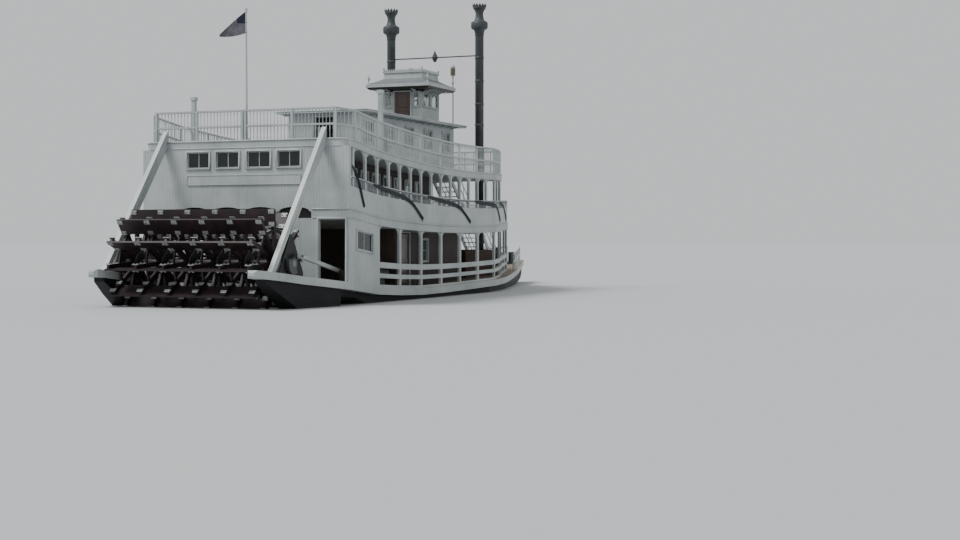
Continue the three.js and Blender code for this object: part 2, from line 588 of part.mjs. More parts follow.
function addPromenade() {
  const floor = DECK.promenade + THICK.promenade + FIT;
  const ceiling = DECK.texas - FIT;
  const x0 = STERN + STERN_FACE.thick + FIT;
  const { top, railLow, railTop, postHalf } = BULWARK;
  const [inner, outer] = [inboard(BULWARK.inner), inboard(BULWARK.outer)];
  for (const [name, side] of both) {
    const panel = sideStrake(side, x0, PROMENADE_FRONT, inner, outer, floor, top);
    const rail = sideStrake(side, x0, PROMENADE_FRONT, inner, outer, railLow, railTop);
    const columns = [x0 + postHalf, PROMENADE_FRONT - postHalf];
    for (let x = -6 * BAY; x < PROMENADE_FRONT - 200; x += BAY / 2) columns.push(x);
    const uprights = columns.map((x) => sideStrake(
      side, x - postHalf, x + postHalf, inner, outer, floor, x < TEXAS_FRONT - 100 ? ceiling : railTop,
    ));
    const strip = (z0, z1, depth) => sideStrake(
      side, PROMENADE_FRONT - 60 - depth / 2, PROMENADE_FRONT - 60 + depth / 2, GANGWAY, inboard(60), z0, z1,
    );
    const gatePost = sideStrake(
      side, PROMENADE_FRONT - 110, PROMENADE_FRONT - 10, GANGWAY, GANGWAY + 100, floor, railTop,
    );
    const front = join(strip(floor, top, 50), strip(railLow, railTop, 90), gatePost);
    addPiece(`promenade_side_${name}`, 'white', join(panel, rail, uprights, front));
  }
}

// Bunting on each side, which hangs against the rail and the bulwark
function addBunting() {
  const { knots, railTop, high, line, firstDrop, drop } = BUNTING;
  const [inner, outer] = [inboard(BULWARK.outer - FIT), inboard(1)];
  for (const [name, side] of both) {
    const strip = (x0, x1, z0, z1, bends) => strake(
      x0 * 1000, x1 * 1000, (x) => side * inner(x), (x) => side * outer(x), z0, z1, bends,
    );
    const festoons = knots.slice(1).map((end, i) => {
      const rows = (i === 0 ? firstDrop : drop).map(
        ([share, height]) => [THREE.MathUtils.lerp(knots[i], end, share), railTop + height],
      );
      const middle = column(rows, 1);
      return strip(
        rows[0][0], rows[rows.length - 1][0], (x) => middle(x) - high * 500, (x) => middle(x) + high * 500,
        rows.slice(1, -1).map(([x]) => x * 1000),
      );
    });
    const along = strip(
      knots[0], knots[knots.length - 1], (railTop + line.low) * 1000, (railTop + line.high) * 1000,
    );
    addPiece(`bunting_${name}`, 'flag', join(festoons, along));
  }
}

function addSaloon() {
  const floor = DECK.promenade + THICK.promenade + FIT;
  const ceiling = DECK.texas - FIT;
  const x0 = STERN + STERN_FACE.thick + FIT;
  const [foreIn, foreOut] = [SALOON.x1 - WALL - 50, SALOON.x1 + 50];
  const { half, z0, z1, pitch, margin, frontY, frontHalf } = SALOON_WINDOW;
  const walls = [strake(SALOON.x1 - WALL, SALOON.x1, -SALOON.half, SALOON.half, floor, ceiling)];
  const cuts = [strake(foreIn, foreOut, -SALOON_DOOR.half, SALOON_DOOR.half, floor - 60, SALOON_DOOR.z1)];
  for (const [, side] of both) {
    walls.push(sideStrake(side, x0, SALOON.x1, SALOON.half - WALL, SALOON.half, floor, ceiling));
    for (let x = x0 + margin; x < SALOON.x1 - margin; x += pitch) {
      cuts.push(sideStrake(side, x - half, x + half, SALOON.half - 2 * WALL, SALOON.half + WALL, z0, z1));
    }
    cuts.push(strake(foreIn, foreOut, side * frontY - frontHalf, side * frontY + frontHalf, z0, z1));
  }
  addPiece('saloon_walls', 'white', join(walls).subtract(join(cuts)));
}

// Full-width stern face above the wheel, with its row of windows and its scalloped lower edge
function addSternFace() {
  const [x0, x1] = [STERN, STERN + STERN_FACE.thick];
  const floor = DECK.promenade + THICK.promenade + FIT;
  const beam = houseHalf(STERN);
  const face = strake(x0, x1, -beam, beam, floor, DECK.texas - FIT);
  const { half, width, pier, crown, pierWidth } = STERN_ARCH;
  const apron = block(x0, x1, -half + FIT, half - FIT, pier, crown);
  const cuts = both.flatMap(([, side]) => STERN_FACE.windows.map(([inner, outer]) => sideBlock(
    side, x0 - 50, x1 + 50, inner, outer, STERN_FACE.z0, STERN_FACE.z1,
  )));
  const reach = (width - pierWidth) / 2;
  for (let y = -half + width / 2; y < half; y += width) {
    const outline = [];
    for (let degrees = 0; degrees <= 180; degrees += 22.5) {
      const angle = toRadians(degrees);
      outline.push([y + reach * Math.cos(angle), pier + (crown - pier) * Math.sin(angle)]);
    }
    outline.push([y - reach, pier - 50], [y + reach, pier - 50]);
    cuts.push(loft([x0 - 50, x1 + 50].map((x) => outline.map(([py, pz]) => [x, py, pz]))));
  }
  addPiece('stern_face', 'white', join(face, apron).subtract(join(cuts)));
}

function addTexasRails() {
  const floor = DECK.texas + THICK.texas + FIT;
  const { high, lowBar, bar: barHigh, cornerX, cornerY, gap, postHalf } = TEXAS_RAIL;
  const top = floor + high;
  const bars = [[floor + lowBar, floor + lowBar + barHigh], [top - barHigh, top]];
  const [x0, x1, aftX] = [STERN + cornerX, TEXAS_FRONT, STERN + TEXAS_RAIL.aft];
  const [inner, outer] = [inboard(110), inboard(50)];
  const cornerRail = (x) => THREE.MathUtils.mapLinear(x, aftX, x0, ...cornerY);
  for (const [name, side] of both) {
    const rails = bars.map(([z0, z1]) => sideStrake(side, x0, x1, inner, outer, z0, z1));
    const posts = [x0 + postHalf, x1 - postHalf];
    for (let x = ENGINE_HOUSE.x1; x < x1 - 200; x += BAY) posts.push(x);
    const uprights = posts.map((x) => sideStrake(side, x - postHalf, x + postHalf, inner, outer, floor, top));
    const front = bars.map(([z0, z1]) => sideStrake(
      side, x1 - 90, x1 - 30, GANGWAY - 100, inboard(60), z0, z1,
    ));
    const gatePost = sideStrake(side, x1 - 100, x1 - 20, GANGWAY - 100, GANGWAY - 20, floor, top);
    const aft = bars.map(([z0, z1]) => sideStrake(
      side, aftX - 30, aftX + 30, gap, cornerY[0] + postHalf, z0, z1,
    ));
    const corner = bars.map(([z0, z1]) => sideStrake(
      side, aftX, x0 + 30, (x) => cornerRail(x) - 30, (x) => cornerRail(x) + 30, z0, z1,
    ));
    const aftPosts = [gap + postHalf, 1850, cornerY[0]].map((y) => sideStrake(
      side, aftX - postHalf, aftX + postHalf, y - postHalf, y + postHalf, floor, top,
    ));
    addPiece(`texas_rail_${name}`, 'white', join(rails, uprights, front, gatePost, aft, corner, aftPosts));
  }
}

function addTexasCabin() {
  const floor = (x) => lift(x, DECK.texas + THICK.texas) + FIT;
  const top = CABIN.roofZ - FIT;
  const wall = (x0, x1, y0, y1) => loft(stationsBetween(x0, x1).map((x) => [
    [x, y0, floor(x)], [x, y1, floor(x)], [x, y1, top], [x, y0, top],
  ]));
  const walls = [
    wall(CABIN.x0, CABIN.x0 + CABIN.wall, -CABIN.half, CABIN.half),
    wall(CABIN.x1 - CABIN.wall, CABIN.x1, -CABIN.half, CABIN.half),
  ];
  const cuts = [CABIN.x0, CABIN.x1].map((x) => block(
    x - 80, x + 80, -CABIN_DOOR.half, CABIN_DOOR.half,
    lift(x, DECK.texas + THICK.texas) + CABIN_DOOR.sill, CABIN_DOOR.z1,
  ));
  const { half, z0, z1, first, margin } = CABIN_WINDOW;
  for (const [, side] of both) {
    const [y0, y1] = [side * CABIN.half, side * (CABIN.half - CABIN.wall)];
    walls.push(wall(CABIN.x0, CABIN.x1, Math.min(y0, y1), Math.max(y0, y1)));
    for (let x = CABIN.x0 + first; x < CABIN.x1 - margin; x += BAY) {
      cuts.push(sideBlock(side, x - half, x + half, CABIN.half - 150, CABIN.half + 100, z0, z1));
    }
  }
  addPiece('texas_cabin', 'white', join(walls).subtract(join(cuts)));
  const [x0, x1, side] = [CABIN.x0 - CABIN.aftEave, CABIN.x1 + CABIN.foreEave, CABIN.half + CABIN.sideEave];
  addPiece('texas_roof', 'white', block(x0, x1, -side, side, CABIN.roofZ, PILOTHOUSE.floorZ));
}

function addPilothouse() {
  const { x, half, wall, floorZ, eaveZ } = PILOTHOUSE;
  const { near, far, aftNear, z0, z1 } = PILOT_WINDOW;
  const [low, high] = [floorZ + FIT, eaveZ - FIT];
  const shell = block(x - half, x + half, -half, half, low, high)
    .subtract(block(x - half + wall, x + half - wall, -half + wall, half - wall, low - 10, high + 10));
  const cuts = [block(
    x - half - 50, x - half + 100, -PILOT_DOOR.half, PILOT_DOOR.half, low - 10, PILOT_DOOR.z1,
  )];
  for (const [, side] of both) {
    cuts.push(sideBlock(side, x + half - 100, x + half + 50, near, far, z0, z1));
    cuts.push(sideBlock(side, x - half - 50, x - half + 100, aftNear, far, z0, z1));
    for (const [from, to] of [[-far, -near], [near, far]]) {
      cuts.push(sideBlock(side, x + from, x + to, half - 100, half + 50, z0, z1));
    }
  }
  addPiece('pilothouse', 'white', shell.subtract(join(cuts)));

  const tiers = [
    // half-width, height
    [1330, eaveZ], [1430, 9090], [1430, 9220], [1150, 9330], [960, 9430], [880, 9470], [850, 9690],
    [900, 9720], [900, 9770], [700, 9830], [300, 9890], [60, 9920], [50, 10000],
  ];
  const roof = loft(tiers.map(([w, z]) => [[x - w, -w, z], [x + w, -w, z], [x + w, w, z], [x - w, w, z]]));
  const finial = [
    // radius, height
    [0, 9190], [60, 9190], [60, 9250], [25, 9290], [25, 9370], [60, 9440], [50, 9500], [12, 9600], [0, 9600],
  ];
  const corners = [[-1, -1], [1, -1], [1, 1], [-1, 1]];
  addPiece('pilothouse_roof', 'white', join(
    roof, corners.map(([i, j]) => turned(x + i * 1340, j * 1340, finial, 8)),
  ));
}

function addShipsWheel() {
  const { x, z, radius, grip } = SHIPS_WHEEL;
  const ring = new THREE.TorusGeometry(radius - grip, 30, 4, 16);
  const rim = fromGeometry(ring.rotateY(Math.PI / 2).translate(x, 0, z));
  const spokes = [0, 1, 2, 3].map((i) => {
    const angle = (i * Math.PI) / 4;
    const [dy, dz] = [radius * Math.cos(angle), radius * Math.sin(angle)];
    return bar([x, -dy, z - dz], [x, dy, z + dz], 16, 4);
  });
  addPiece('ships_wheel', 'door', join(rim, spokes, bar([x - 60, 0, z], [x + 60, 0, z], 80, 12)));
  const floor = PILOTHOUSE.floorZ + FIT;
  addPiece('wheel_stand', 'door', join(
    block(x + 60 + RUNNING, x + 160, -70, 70, floor, z + 110),
    block(x + 40, x + 200, -150, 150, floor, floor + 120),
  ));
}

function addStacks() {
  const { x, y, radius: r, baseZ, topZ, spreaderZ: z } = STACK;
  const profile = [
    // radius, height
    [0, baseZ + FIT], [r, baseZ + FIT], [r, 11650], [r + 45, 11780], [365, 11880], [365, 12120],
    [r + 20, 12230], [165, 12450], [190, 12600], [290, 12760], [300, topZ], [240, topZ],
    [220, 12830], [0, 12830],
  ];
  for (const [name, side] of both) addPiece(`stack_${name}`, 'iron', turned(x, side * y, profile));
  const reach = y - r - FIT;
  const ornament = turned(x, 0, [[0, z - 200], [60, z - 180], [150, z], [60, z + 180], [0, z + 330]], 8);
  addPiece('stack_spreader', 'iron', join(block(x - 25, x + 25, -reach, reach, z - 25, z + 25), ornament));
}

function addBoiler() {
  const { x0, x1, half, joint, doorHalf, doorDepth, doorTop } = BOILER;
  const base = strake(x0, x1, -half, half, DECK.main + FIT, joint + 50);
  const setting = block(x0, x1, -half, half, joint - 50, STACK.baseZ);
  const doors = [-1800, -600, 600, 1800].map((y) => block(
    x1 - 100, x1 + doorDepth, y - doorHalf, y + doorHalf, joint, doorTop,
  ));
  addPiece('boiler', 'brick', join(base, setting, doors));
}

function addSternBraces() {
  const [y0, y1] = [BEARING.inner, BEARING.outer];
  const footZ = (x) => lift(x, DECK.main) + FIT;
  const [top, standTop] = [STERN - FIT, BEARING.apexZ + FIT];
  for (const [name, side] of both) {
    const legs = [
      [...BRACE.aftFoot.map((x) => [x, footZ(x)]), ...BRACE.aftTop.map((z) => [top, z])],
      [...BRACE.foreFoot.map((x) => [x, standTop]), ...BRACE.foreTop.map((z) => [top, z])],
    ];
    addPiece(`stern_brace_${name}`, 'white', join(legs.map((leg) => plate(leg, side * y0, side * y1))));
  }
}

// Post on each side near the stern, which carries the hog chain of such boats
function addHogPosts() {
  const floor = DECK.texas + THICK.texas + FIT;
  const { x0, x1, inner, outer, topZ, capHigh, capLap } = HOG_POST;
  for (const [name, side] of both) {
    const shaft = loft(stationsBetween(x0, x1).map((x) => {
      const low = lift(x, floor);
      return [
        [x, side * inner, low], [x, side * outer, low], [x, side * outer, topZ], [x, side * inner, topZ],
      ];
    }));
    const cap = sideBlock(
      side, x0 - capLap, x1 + capLap, inner - capLap, outer + capLap, topZ - 50, topZ + capHigh,
    );
    addPiece(`hog_post_${name}`, 'white', join(shaft, cap));
  }
}

function addFlag() {
  const { x, topZ, radius, tipRadius } = FLAGSTAFF;
  const level = DECK.texas + THICK.texas;
  const base = lift(x, level) - 60;
  const staff = join(
    bar([x, 0, base], [x, 0, topZ], radius, 12, tipRadius),
    bar([x, 0, base], [x, 0, base + 150], 110, 12),
    turned(x, 0, [[0, topZ - 40], [50, topZ - 20], [60, topZ + 20], [0, topZ + 70]], 8),
  );
  addPiece('flagstaff', 'white', seated(staff, x, 0, 220, level));
  const cloth = plate(ENSIGN.outline, -ENSIGN.thick / 2, ENSIGN.thick / 2);
  addPiece('ensign', 'flag', cloth.rotate([0, 0, ENSIGN.heading]).translate([x, 0, 0]));
}

// Thin mast with a lantern at its top, just behind the texas deck's front rail
function addSignalMast() {
  const { x, y, radius, topZ: z } = SIGNAL_MAST;
  const level = DECK.texas + THICK.texas;
  const base = lift(x, level) - 60;
  const lantern = turned(x, y, [
    // radius, height
    [0, z - 500], [60, z - 500], [95, z - 440], [95, z - 160], [125, z - 140], [60, z - 50], [0, z],
  ], 12);
  const mast = join(
    bar([x, y, base], [x, y, z - 480], radius), bar([x, y, base], [x, y, base + 130], 80), lantern,
  );
  addPiece('signal_mast', 'white', seated(mast, x, y, 180, level));
}

function addForedeck() {
  const profile = [
    // radius, height above the deck
    [0, -60], [330, -60], [330, 120], [270, 170], [250, 230], [150, 330], [130, 620], [230, 760],
    [230, 840], [0, 860],
  ];
  const deck = lift(CAPSTAN_X, DECK.main);
  const capstan = turned(CAPSTAN_X, 0, profile.map(([r, z]) => [r, deck + z]), 12);
  addPiece('capstan', 'iron', seated(capstan, CAPSTAN_X, 0, 500, DECK.main));
  const { x0, x1, posts, y, postHalf, topZ } = BITTS;
  const bitts = both.map(([, side]) => join(
    strake(x0, x1, -y - 90, y + 90, DECK.main + FIT, 1070),
    posts.map((x) => {
      const head = sideBlock(side, x - postHalf, x + postHalf, y - postHalf, y + postHalf, 1400, topZ);
      return seated(head, x, side * y, 200, DECK.main);
    }),
    strake(x0 - 10, x1 + 10, side * y - 45, side * y + 45, 1330, 1430),
  ));
  addPiece('mooring_bitts', 'black', join(bitts));
}

// Straight stair between two heights, built of two strings and its treads
function stair(x0, z0, x1, z1, half, steps) {
  const slope = (z1 - z0) / (x1 - x0);
  const strings = [-1, 1].map((side) => plate([
    [x0, z0], [x0 + Math.sign(x1 - x0) * 260, z0], [x1, z1 - 260 * Math.abs(slope)], [x1, z1],
    [x1 - Math.sign(x1 - x0) * 60, z1],
  ], side * half - 25, side * half + 25));
  const treads = [];
  for (let i = 1; i < steps; i += 1) {
    const [x, z] = [x0 + ((x1 - x0) * i) / steps, z0 + ((z1 - z0) * i) / steps];
    treads.push(block(x - 125, x + 125, -half, half, z - 60, z - 20));
  }
  return join(strings, treads);
}

function addStairs() {
  const rise = (foot, level, front, upper) => [
    foot, lift(foot, level) - 40, front + FIT, lift(front, upper) - 40,
  ];
  const [promenadeTop, texasTop] = [DECK.promenade + THICK.promenade, DECK.texas + THICK.texas];
  const main = stair(
    ...rise(MAIN_STAIR.foot, DECK.main, PROMENADE_FRONT, promenadeTop), MAIN_STAIR.half, MAIN_STAIR.steps,
  );
  addPiece('foredeck_stair', 'white', seated(main, MAIN_STAIR.foot, 0, 700, DECK.main));
  const texas = stair(
    ...rise(TEXAS_STAIR.foot, promenadeTop, TEXAS_FRONT, texasTop), TEXAS_STAIR.half, TEXAS_STAIR.steps,
  );
  addPiece('texas_stair', 'white', seated(texas, TEXAS_STAIR.foot, 0, 600, promenadeTop));
}

// Door leaf on a pivot pin that stands on the sill. The hinge is the bottom corner of the opening at
// the wall's outer face, along runs across the opening and outward is the way the leaf swings.
function doorLeaf(hinge, along, outward, opening, z0, z1, sillZ) {
  const place = ([across, out]) => [
    hinge[0] + along[0] * across + outward[0] * out, hinge[1] + along[1] * across + outward[1] * out,
  ];
  const far = opening - LEAF.edgeGap;
  const corners = [[LEAF.edgeGap, 0], [far, 0], [far, -LEAF.thick], [LEAF.edgeGap, -LEAF.thick]].map(place);
  const leaf = loft([z0, z1].map((z) => corners.map(([x, y]) => [x, y, z])));
  const [px, py] = place([LEAF.pivotIn, -LEAF.pivotBack]);
  return join(leaf, bar([px, py, sillZ + 2 * FIT], [px, py, z0 + 60], LEAF.pinRadius, 8));
}

function addDoors() {
  const { underGap, overGap } = LEAF;
  for (const [name, side] of both) {
    const floorZ = lift(HOUSE_DOOR.x1, DECK.main);
    addPiece(`house_door_${name}`, 'door', doorLeaf(
      [HOUSE_DOOR.x1, side * ENGINE_HOUSE.innerHalf], [-1, 0], [0, side], HOUSE_DOOR.x1 - HOUSE_DOOR.x0,
      floorZ + underGap, lift(HOUSE_DOOR.x1, HOUSE_DOOR.z1) - overGap, floorZ,
    ));
  }
  const saloonFloor = lift(SALOON.x1, DECK.promenade + THICK.promenade);
  addPiece('saloon_door', 'door', doorLeaf(
    [SALOON.x1, SALOON_DOOR.half], [0, -1], [1, 0], 2 * SALOON_DOOR.half,
    saloonFloor + underGap, lift(SALOON.x1, SALOON_DOOR.z1) - overGap, saloonFloor,
  ));
  const sill = lift(CABIN.x1, DECK.texas + THICK.texas) + CABIN_DOOR.sill;
  addPiece('cabin_door', 'door', doorLeaf(
    [CABIN.x1, CABIN_DOOR.half], [0, -1], [1, 0], 2 * CABIN_DOOR.half,
    sill + overGap, CABIN_DOOR.z1 - overGap, sill,
  ));
  addPiece('pilothouse_door', 'door', doorLeaf(
    [PILOTHOUSE.x - PILOTHOUSE.half, PILOT_DOOR.half], [0, -1], [-1, 0], 2 * PILOT_DOOR.half,
    PILOTHOUSE.floorZ + underGap, PILOT_DOOR.z1 - overGap, PILOTHOUSE.floorZ,
  ));
}

addHull();
addMainDeck();
addRudders();
addPaddleWheel();
addCrankGear();
addMainHouses();
addArcades();
addDecks();
addPromenade();
addBunting();
addSaloon();
addSternFace();
addTexasRails();
addTexasCabin();
addPilothouse();
addShipsWheel();
addStacks();
addBoiler();
addSternBraces();
addHogPosts();
addFlag();
addSignalMast();
addForedeck();
addStairs();
addDoors();

export default boat;
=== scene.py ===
# Looks of the sternwheel paddle boat, in metres: X to the bow, Y to port, Z up, waterline at Z 0.6
import bmesh
import bpy
from math import atan2, cos, dist, pi, radians, sin
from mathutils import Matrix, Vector


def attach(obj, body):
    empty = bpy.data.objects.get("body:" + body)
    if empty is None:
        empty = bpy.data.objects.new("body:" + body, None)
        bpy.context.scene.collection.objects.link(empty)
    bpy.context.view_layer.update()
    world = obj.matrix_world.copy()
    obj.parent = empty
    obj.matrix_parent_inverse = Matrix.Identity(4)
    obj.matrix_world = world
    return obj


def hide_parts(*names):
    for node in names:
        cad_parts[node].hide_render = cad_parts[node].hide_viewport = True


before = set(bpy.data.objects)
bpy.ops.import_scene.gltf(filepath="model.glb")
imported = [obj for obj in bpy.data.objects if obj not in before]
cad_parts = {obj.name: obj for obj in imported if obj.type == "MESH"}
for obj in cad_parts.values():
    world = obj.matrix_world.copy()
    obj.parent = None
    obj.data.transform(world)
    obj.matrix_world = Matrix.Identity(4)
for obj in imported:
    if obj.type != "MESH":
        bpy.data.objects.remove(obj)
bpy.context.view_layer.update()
sides = [("starboard", -1), ("port", 1)]


# small helpers

nodePrefix = {"SHADER": "ShaderNode", "GEOMETRY": "GeometryNode"}


def hexColour(text):
    shares = [int(text[i:i + 2], 16) / 255 for i in (1, 3, 5)]
    return (*[s / 12.92 if s <= 0.04045 else ((s + 0.055) / 1.055) ** 2.4 for s in shares], 1.0)


def setInputs(node, inputs):
    # sockets are linked, "#rrggbb" becomes a colour, anything else is set as it is
    for key, amount in inputs.items():
        if isinstance(amount, bpy.types.NodeSocket):
            node.id_data.links.new(amount, node.inputs[key])
        else:
            isColour = isinstance(amount, str) and amount.startswith("#")
            node.inputs[key].default_value = hexColour(amount) if isColour else amount


def addNode(kind, inputs, settings=None, tree=None):
    # in the given tree, or in that of its first linked input
    tree = tree or next(a.id_data for a in inputs.values() if isinstance(a, bpy.types.NodeSocket))
    node = tree.nodes.new(kind if "Node" in kind else nodePrefix[tree.type] + kind)
    for name, amount in (settings or {}).items():
        setattr(node, name, amount)
    setInputs(node, inputs)
    return node


def made(kind, inputs, settings=None, output=0):
    return addNode(kind, inputs, settings).outputs[output]


def source(tree, kind, output=0, inputs=None, settings=None):
    return addNode(kind, inputs or {}, settings, tree).outputs[output]


def newMesh(name, points, edges, faces):
    mesh = bpy.data.meshes.new(name)
    mesh.from_pydata([tuple(p) for p in points], edges, faces)
    return mesh


def linked(name, data):
    obj = bpy.data.objects.new(name, data)
    bpy.context.collection.objects.link(obj)
    return obj


def aimed(obj, way):
    obj.rotation_mode = "QUATERNION"
    obj.rotation_quaternion = Vector(way).to_track_quat("-Z", "Y")
    return obj


def between(low, high, share):
    return low + (high - low) * share


def turns(count, phase=0.0):
    return [2 * pi * (i + phase) / count for i in range(count)]


def polar(middle, radius, angle, z):
    return (middle[0] + radius * cos(angle), middle[1] + radius * sin(angle), z)


# building blocks of materials

def newMaterial(name):
    material = bpy.data.materials.new(name)
    material.use_nodes = True
    return material, source(material.node_tree, "TexCoord", "Object")


def surfaced(material, colour, roughness, relief=None, more=None):
    # relief: height, strength, distance
    inputs = {"Base Color": colour, "Roughness": roughness, **(more or {})}
    if relief:
        inputs["Normal"] = made("Bump", dict(zip(("Height", "Strength", "Distance"), relief)))
    setInputs(material.node_tree.nodes["Principled BSDF"], inputs)
    return material


def axes(place):
    return addNode("SeparateXYZ", {"Vector": place}).outputs


def calc(operation, *operands):
    return made("Math", dict(enumerate(operands)), {"operation": operation})


def noise(place, scale, detail, stretch=None, more=None):
    if stretch:
        place = made("Mapping", {"Vector": place, "Scale": stretch})
    return made("TexNoise", {"Vector": place, "Scale": scale, "Detail": detail, **(more or {})})


def ranged(amount, fromMin=0.0, fromMax=1.0, toMin=0.0, toMax=1.0, kind="LINEAR"):
    return made("MapRange", {"Value": amount, "From Min": fromMin, "From Max": fromMax,
                             "To Min": toMin, "To Max": toMax}, {"interpolation_type": kind})


def blend(factor, first, second):
    return made("Mix", {0: factor, 6: first, 7: second}, {"data_type": "RGBA"}, 2)


def ramp(factor, colours, places=(0.3, 0.55, 0.8)):
    node = addNode("ValToRGB", {"Fac": factor})
    elements = node.color_ramp.elements
    while len(elements) < len(places):
        elements.new(0.5)
    for element, place, colour in zip(elements, places, colours.split()):
        element.position = place
        element.color = hexColour(colour)
    return node.outputs["Color"]


def grooved(place, width, share):
    # lines between upright boards: on a wall along X or along Y one of the two stays the same
    x, y, _ = axes(place)
    return ranged(calc("FRACT", calc("DIVIDE", calc("ADD", x, y), width)), fromMax=share, kind="SMOOTHSTEP")


def overlaid(material, factor, colour):
    # another colour over the material's own
    surface = material.node_tree.nodes["Principled BSDF"]
    own = surface.inputs["Base Color"].links[0].from_socket
    setInputs(surface, {"Base Color": blend(factor, own, colour)})
    return material


def recoloured(material, low, high, colour):
    # the faces between two corners, the same on both sides, are stained, left bare or darkened as painted
    # shade
    x, y, z = axes(source(material.node_tree, "TexCoord", "Object"))
    inside = 1.0
    for amount, least, most in zip((x, calc("ABSOLUTE", y), z), low, high):
        for kind, limit in (("GREATER_THAN", least), ("LESS_THAN", most)):
            inside = calc("MULTIPLY", inside, calc(kind, amount, limit))
    return overlaid(material, inside, colour)


# camera, floor and light

viewpoint = {
    "place": (-56.6, -26.7, 2.9),
    "heading": (0.92843, 0.37156),
    "pitch": -1.276,  # degrees
    "lens": 57.2,
    "sensor": 36.0,
    "farthest": 2000.0,
    "waterline": 0.6,
    "floorRadius": 420.0,
}

light = {
    "skyColour": "#eef0f2",
    "skyStrength": 0.82,
    "sunWay": (0.35, -0.45, -0.82),  # from high on the port quarter
    "sunSize": 22.0,  # degrees, a wide soft light
    "sunStrength": 3.0,
}


def addViewpoint():
    rise = radians(viewpoint["pitch"])
    ahead = (*[c * cos(rise) for c in viewpoint["heading"]], sin(rise))
    camera = aimed(linked("camera", bpy.data.cameras.new("camera")), ahead)
    camera.location = viewpoint["place"]
    camera.data.sensor_width = viewpoint["sensor"]
    camera.data.lens = viewpoint["lens"]
    camera.data.clip_end = viewpoint["farthest"]
    bpy.context.scene.camera = camera


def addFloor():
    rim = [polar((0, 0), viewpoint["floorRadius"], angle, viewpoint["waterline"]) for angle in turns(96)]
    mesh = newMesh("floor", rim, [], [range(96)])
    mesh.materials.append(surfaced(newMaterial("matt pale floor")[0], "#b6b9ba", 0.9))
    linked("floor", mesh)


def addLight():
    world = bpy.data.worlds.new("soft sky")
    bpy.context.scene.world = world
    world.use_nodes = True
    setInputs(world.node_tree.nodes["Background"], {
        "Color": light["skyColour"], "Strength": light["skyStrength"]})
    sun = aimed(linked("softSun", bpy.data.lights.new("softSun", "SUN")), light["sunWay"])
    sun.data.energy = light["sunStrength"]
    sun.data.angle = radians(light["sunSize"])


# materials

def housePaint(name, boardWidth=0.0):
    # oil gloss paint on planed pine: greyed by weather and toned down as painted shade, boards show as thin
    # shadow lines
    material, place = newMaterial(name)
    # the greys of this white are partly painted shade
    tint = ramp(noise(place, 0.9, 5.0), "#9ca3a3 #adb3b3 #babdbb")
    streak = noise(place, 1.6, 4.0, (5.0, 5.0, 0.5), {"Roughness": 0.65})  # rain, run down the wall
    colour = blend(ranged(streak, 0.52, 0.8, 0.0, 0.45), tint, "#7d8581")
    height = noise(place, 34.0, 3.0)  # brush marks
    if boardWidth:
        groove = grooved(place, boardWidth, 0.09)  # drawn wider than real, to show
        colour = blend(groove, "#6c7271", colour)
        height = calc("ADD", height, calc("MULTIPLY", groove, 3.0))
    return surfaced(material, colour, 0.42, (height, 0.35, 0.003), {"Specular IOR Level": 0.45})


def deckAndRim(name, topColours, boards=0.0):
    # a deck slab: boarded or canvas-covered on top, painted rim, painted boards beneath
    material = housePaint(name, 0.12)
    tree = material.node_tree
    place = source(tree, "TexCoord", "Object")
    one, other, dull = topColours.split()
    plank = made("TexBrick", {
        "Vector": place, "Color1": one, "Color2": other, "Mortar": "#2b2926",
        "Scale": 1.0, "Mortar Size": 0.007 if boards else 0.0, "Brick Width": 3.4,
        "Row Height": boards or 1.2}, {"offset": 0.37, "offset_frequency": 3})
    worn = ranged(noise(place, 1.7, 6.0), 0.35, 0.75, 0.0, 0.5)
    isTop = ranged(axes(source(tree, "NewGeometry", "Normal"))["Z"], 0.75, 0.9)
    matt = ranged(isTop, toMin=0.42, toMax=0.8)
    setInputs(tree.nodes["Principled BSDF"], {"Roughness": matt})
    return overlaid(material, isTop, blend(worn, plank, dull))


def stainedAndShadedBoards():
    # upright pine boards under dark oil stain, dark partly as painted shade under the decks, grooves between
    # boards in painted shade: brown-black, dull, grain runs up the wall
    material, place = newMaterial("dark oil stain and painted shade on upright pine boards")
    groove = grooved(place, 0.11, 0.08)
    grain = noise(place, 1.3, 5.0, (22.0, 22.0, 1.4), {"Distortion": 0.4})
    brown = ramp(grain, "#241e1a #352b25 #46392f")
    height = calc("MULTIPLY_ADD", groove, 3.0, grain)
    return surfaced(material, blend(groove, "#14110f", brown), 0.6, (height, 0.35, 0.003))


def hullPaint():
    # bitumen black on planking: dull sheen, level seams, a pale scum band just above the water
    material, place = newMaterial("bitumen black hull")
    up = axes(place)["Z"]
    cloud = noise(place, 1.3, 6.0)
    black = ramp(cloud, "#0a0b0c #121415 #1c1f20", (0.3, 0.6, 0.85))
    scum = ranged(calc("MULTIPLY_ADD", cloud, 0.16, up), 0.66, 0.76, 0.45, 0.0)
    seam = ranged(calc("FRACT", calc("DIVIDE", up, 0.18)), fromMax=0.06)  # 180 mm planks
    return surfaced(material, blend(scum, black, "#3f4239"), 0.6, (seam, 0.5, 0.006),
                    {"Specular IOR Level": 0.3})


def wheelPaint():
    # dark oxide-red paint on sawn oak, darkened further as painted shade, kept wet: worn to bare grey wood in
    # patches
    material, place = newMaterial("oxide red paint on oak, darkened as painted shade")
    cloud = noise(place, 2.4, 6.0)
    # these dark reds are partly painted shade
    red = ramp(cloud, "#130c0e #241417 #382022")
    grain = noise(place, 1.5, 4.0, (26.0, 1.6, 26.0), {"Roughness": 0.7})
    bare = ranged(grain, 0.58, 0.72, 0.0, 0.35)
    gloss = ranged(cloud, toMin=0.35, toMax=0.7)
    return surfaced(material, blend(bare, red, "#564d4a"), gloss, (grain, 0.4, 0.004))


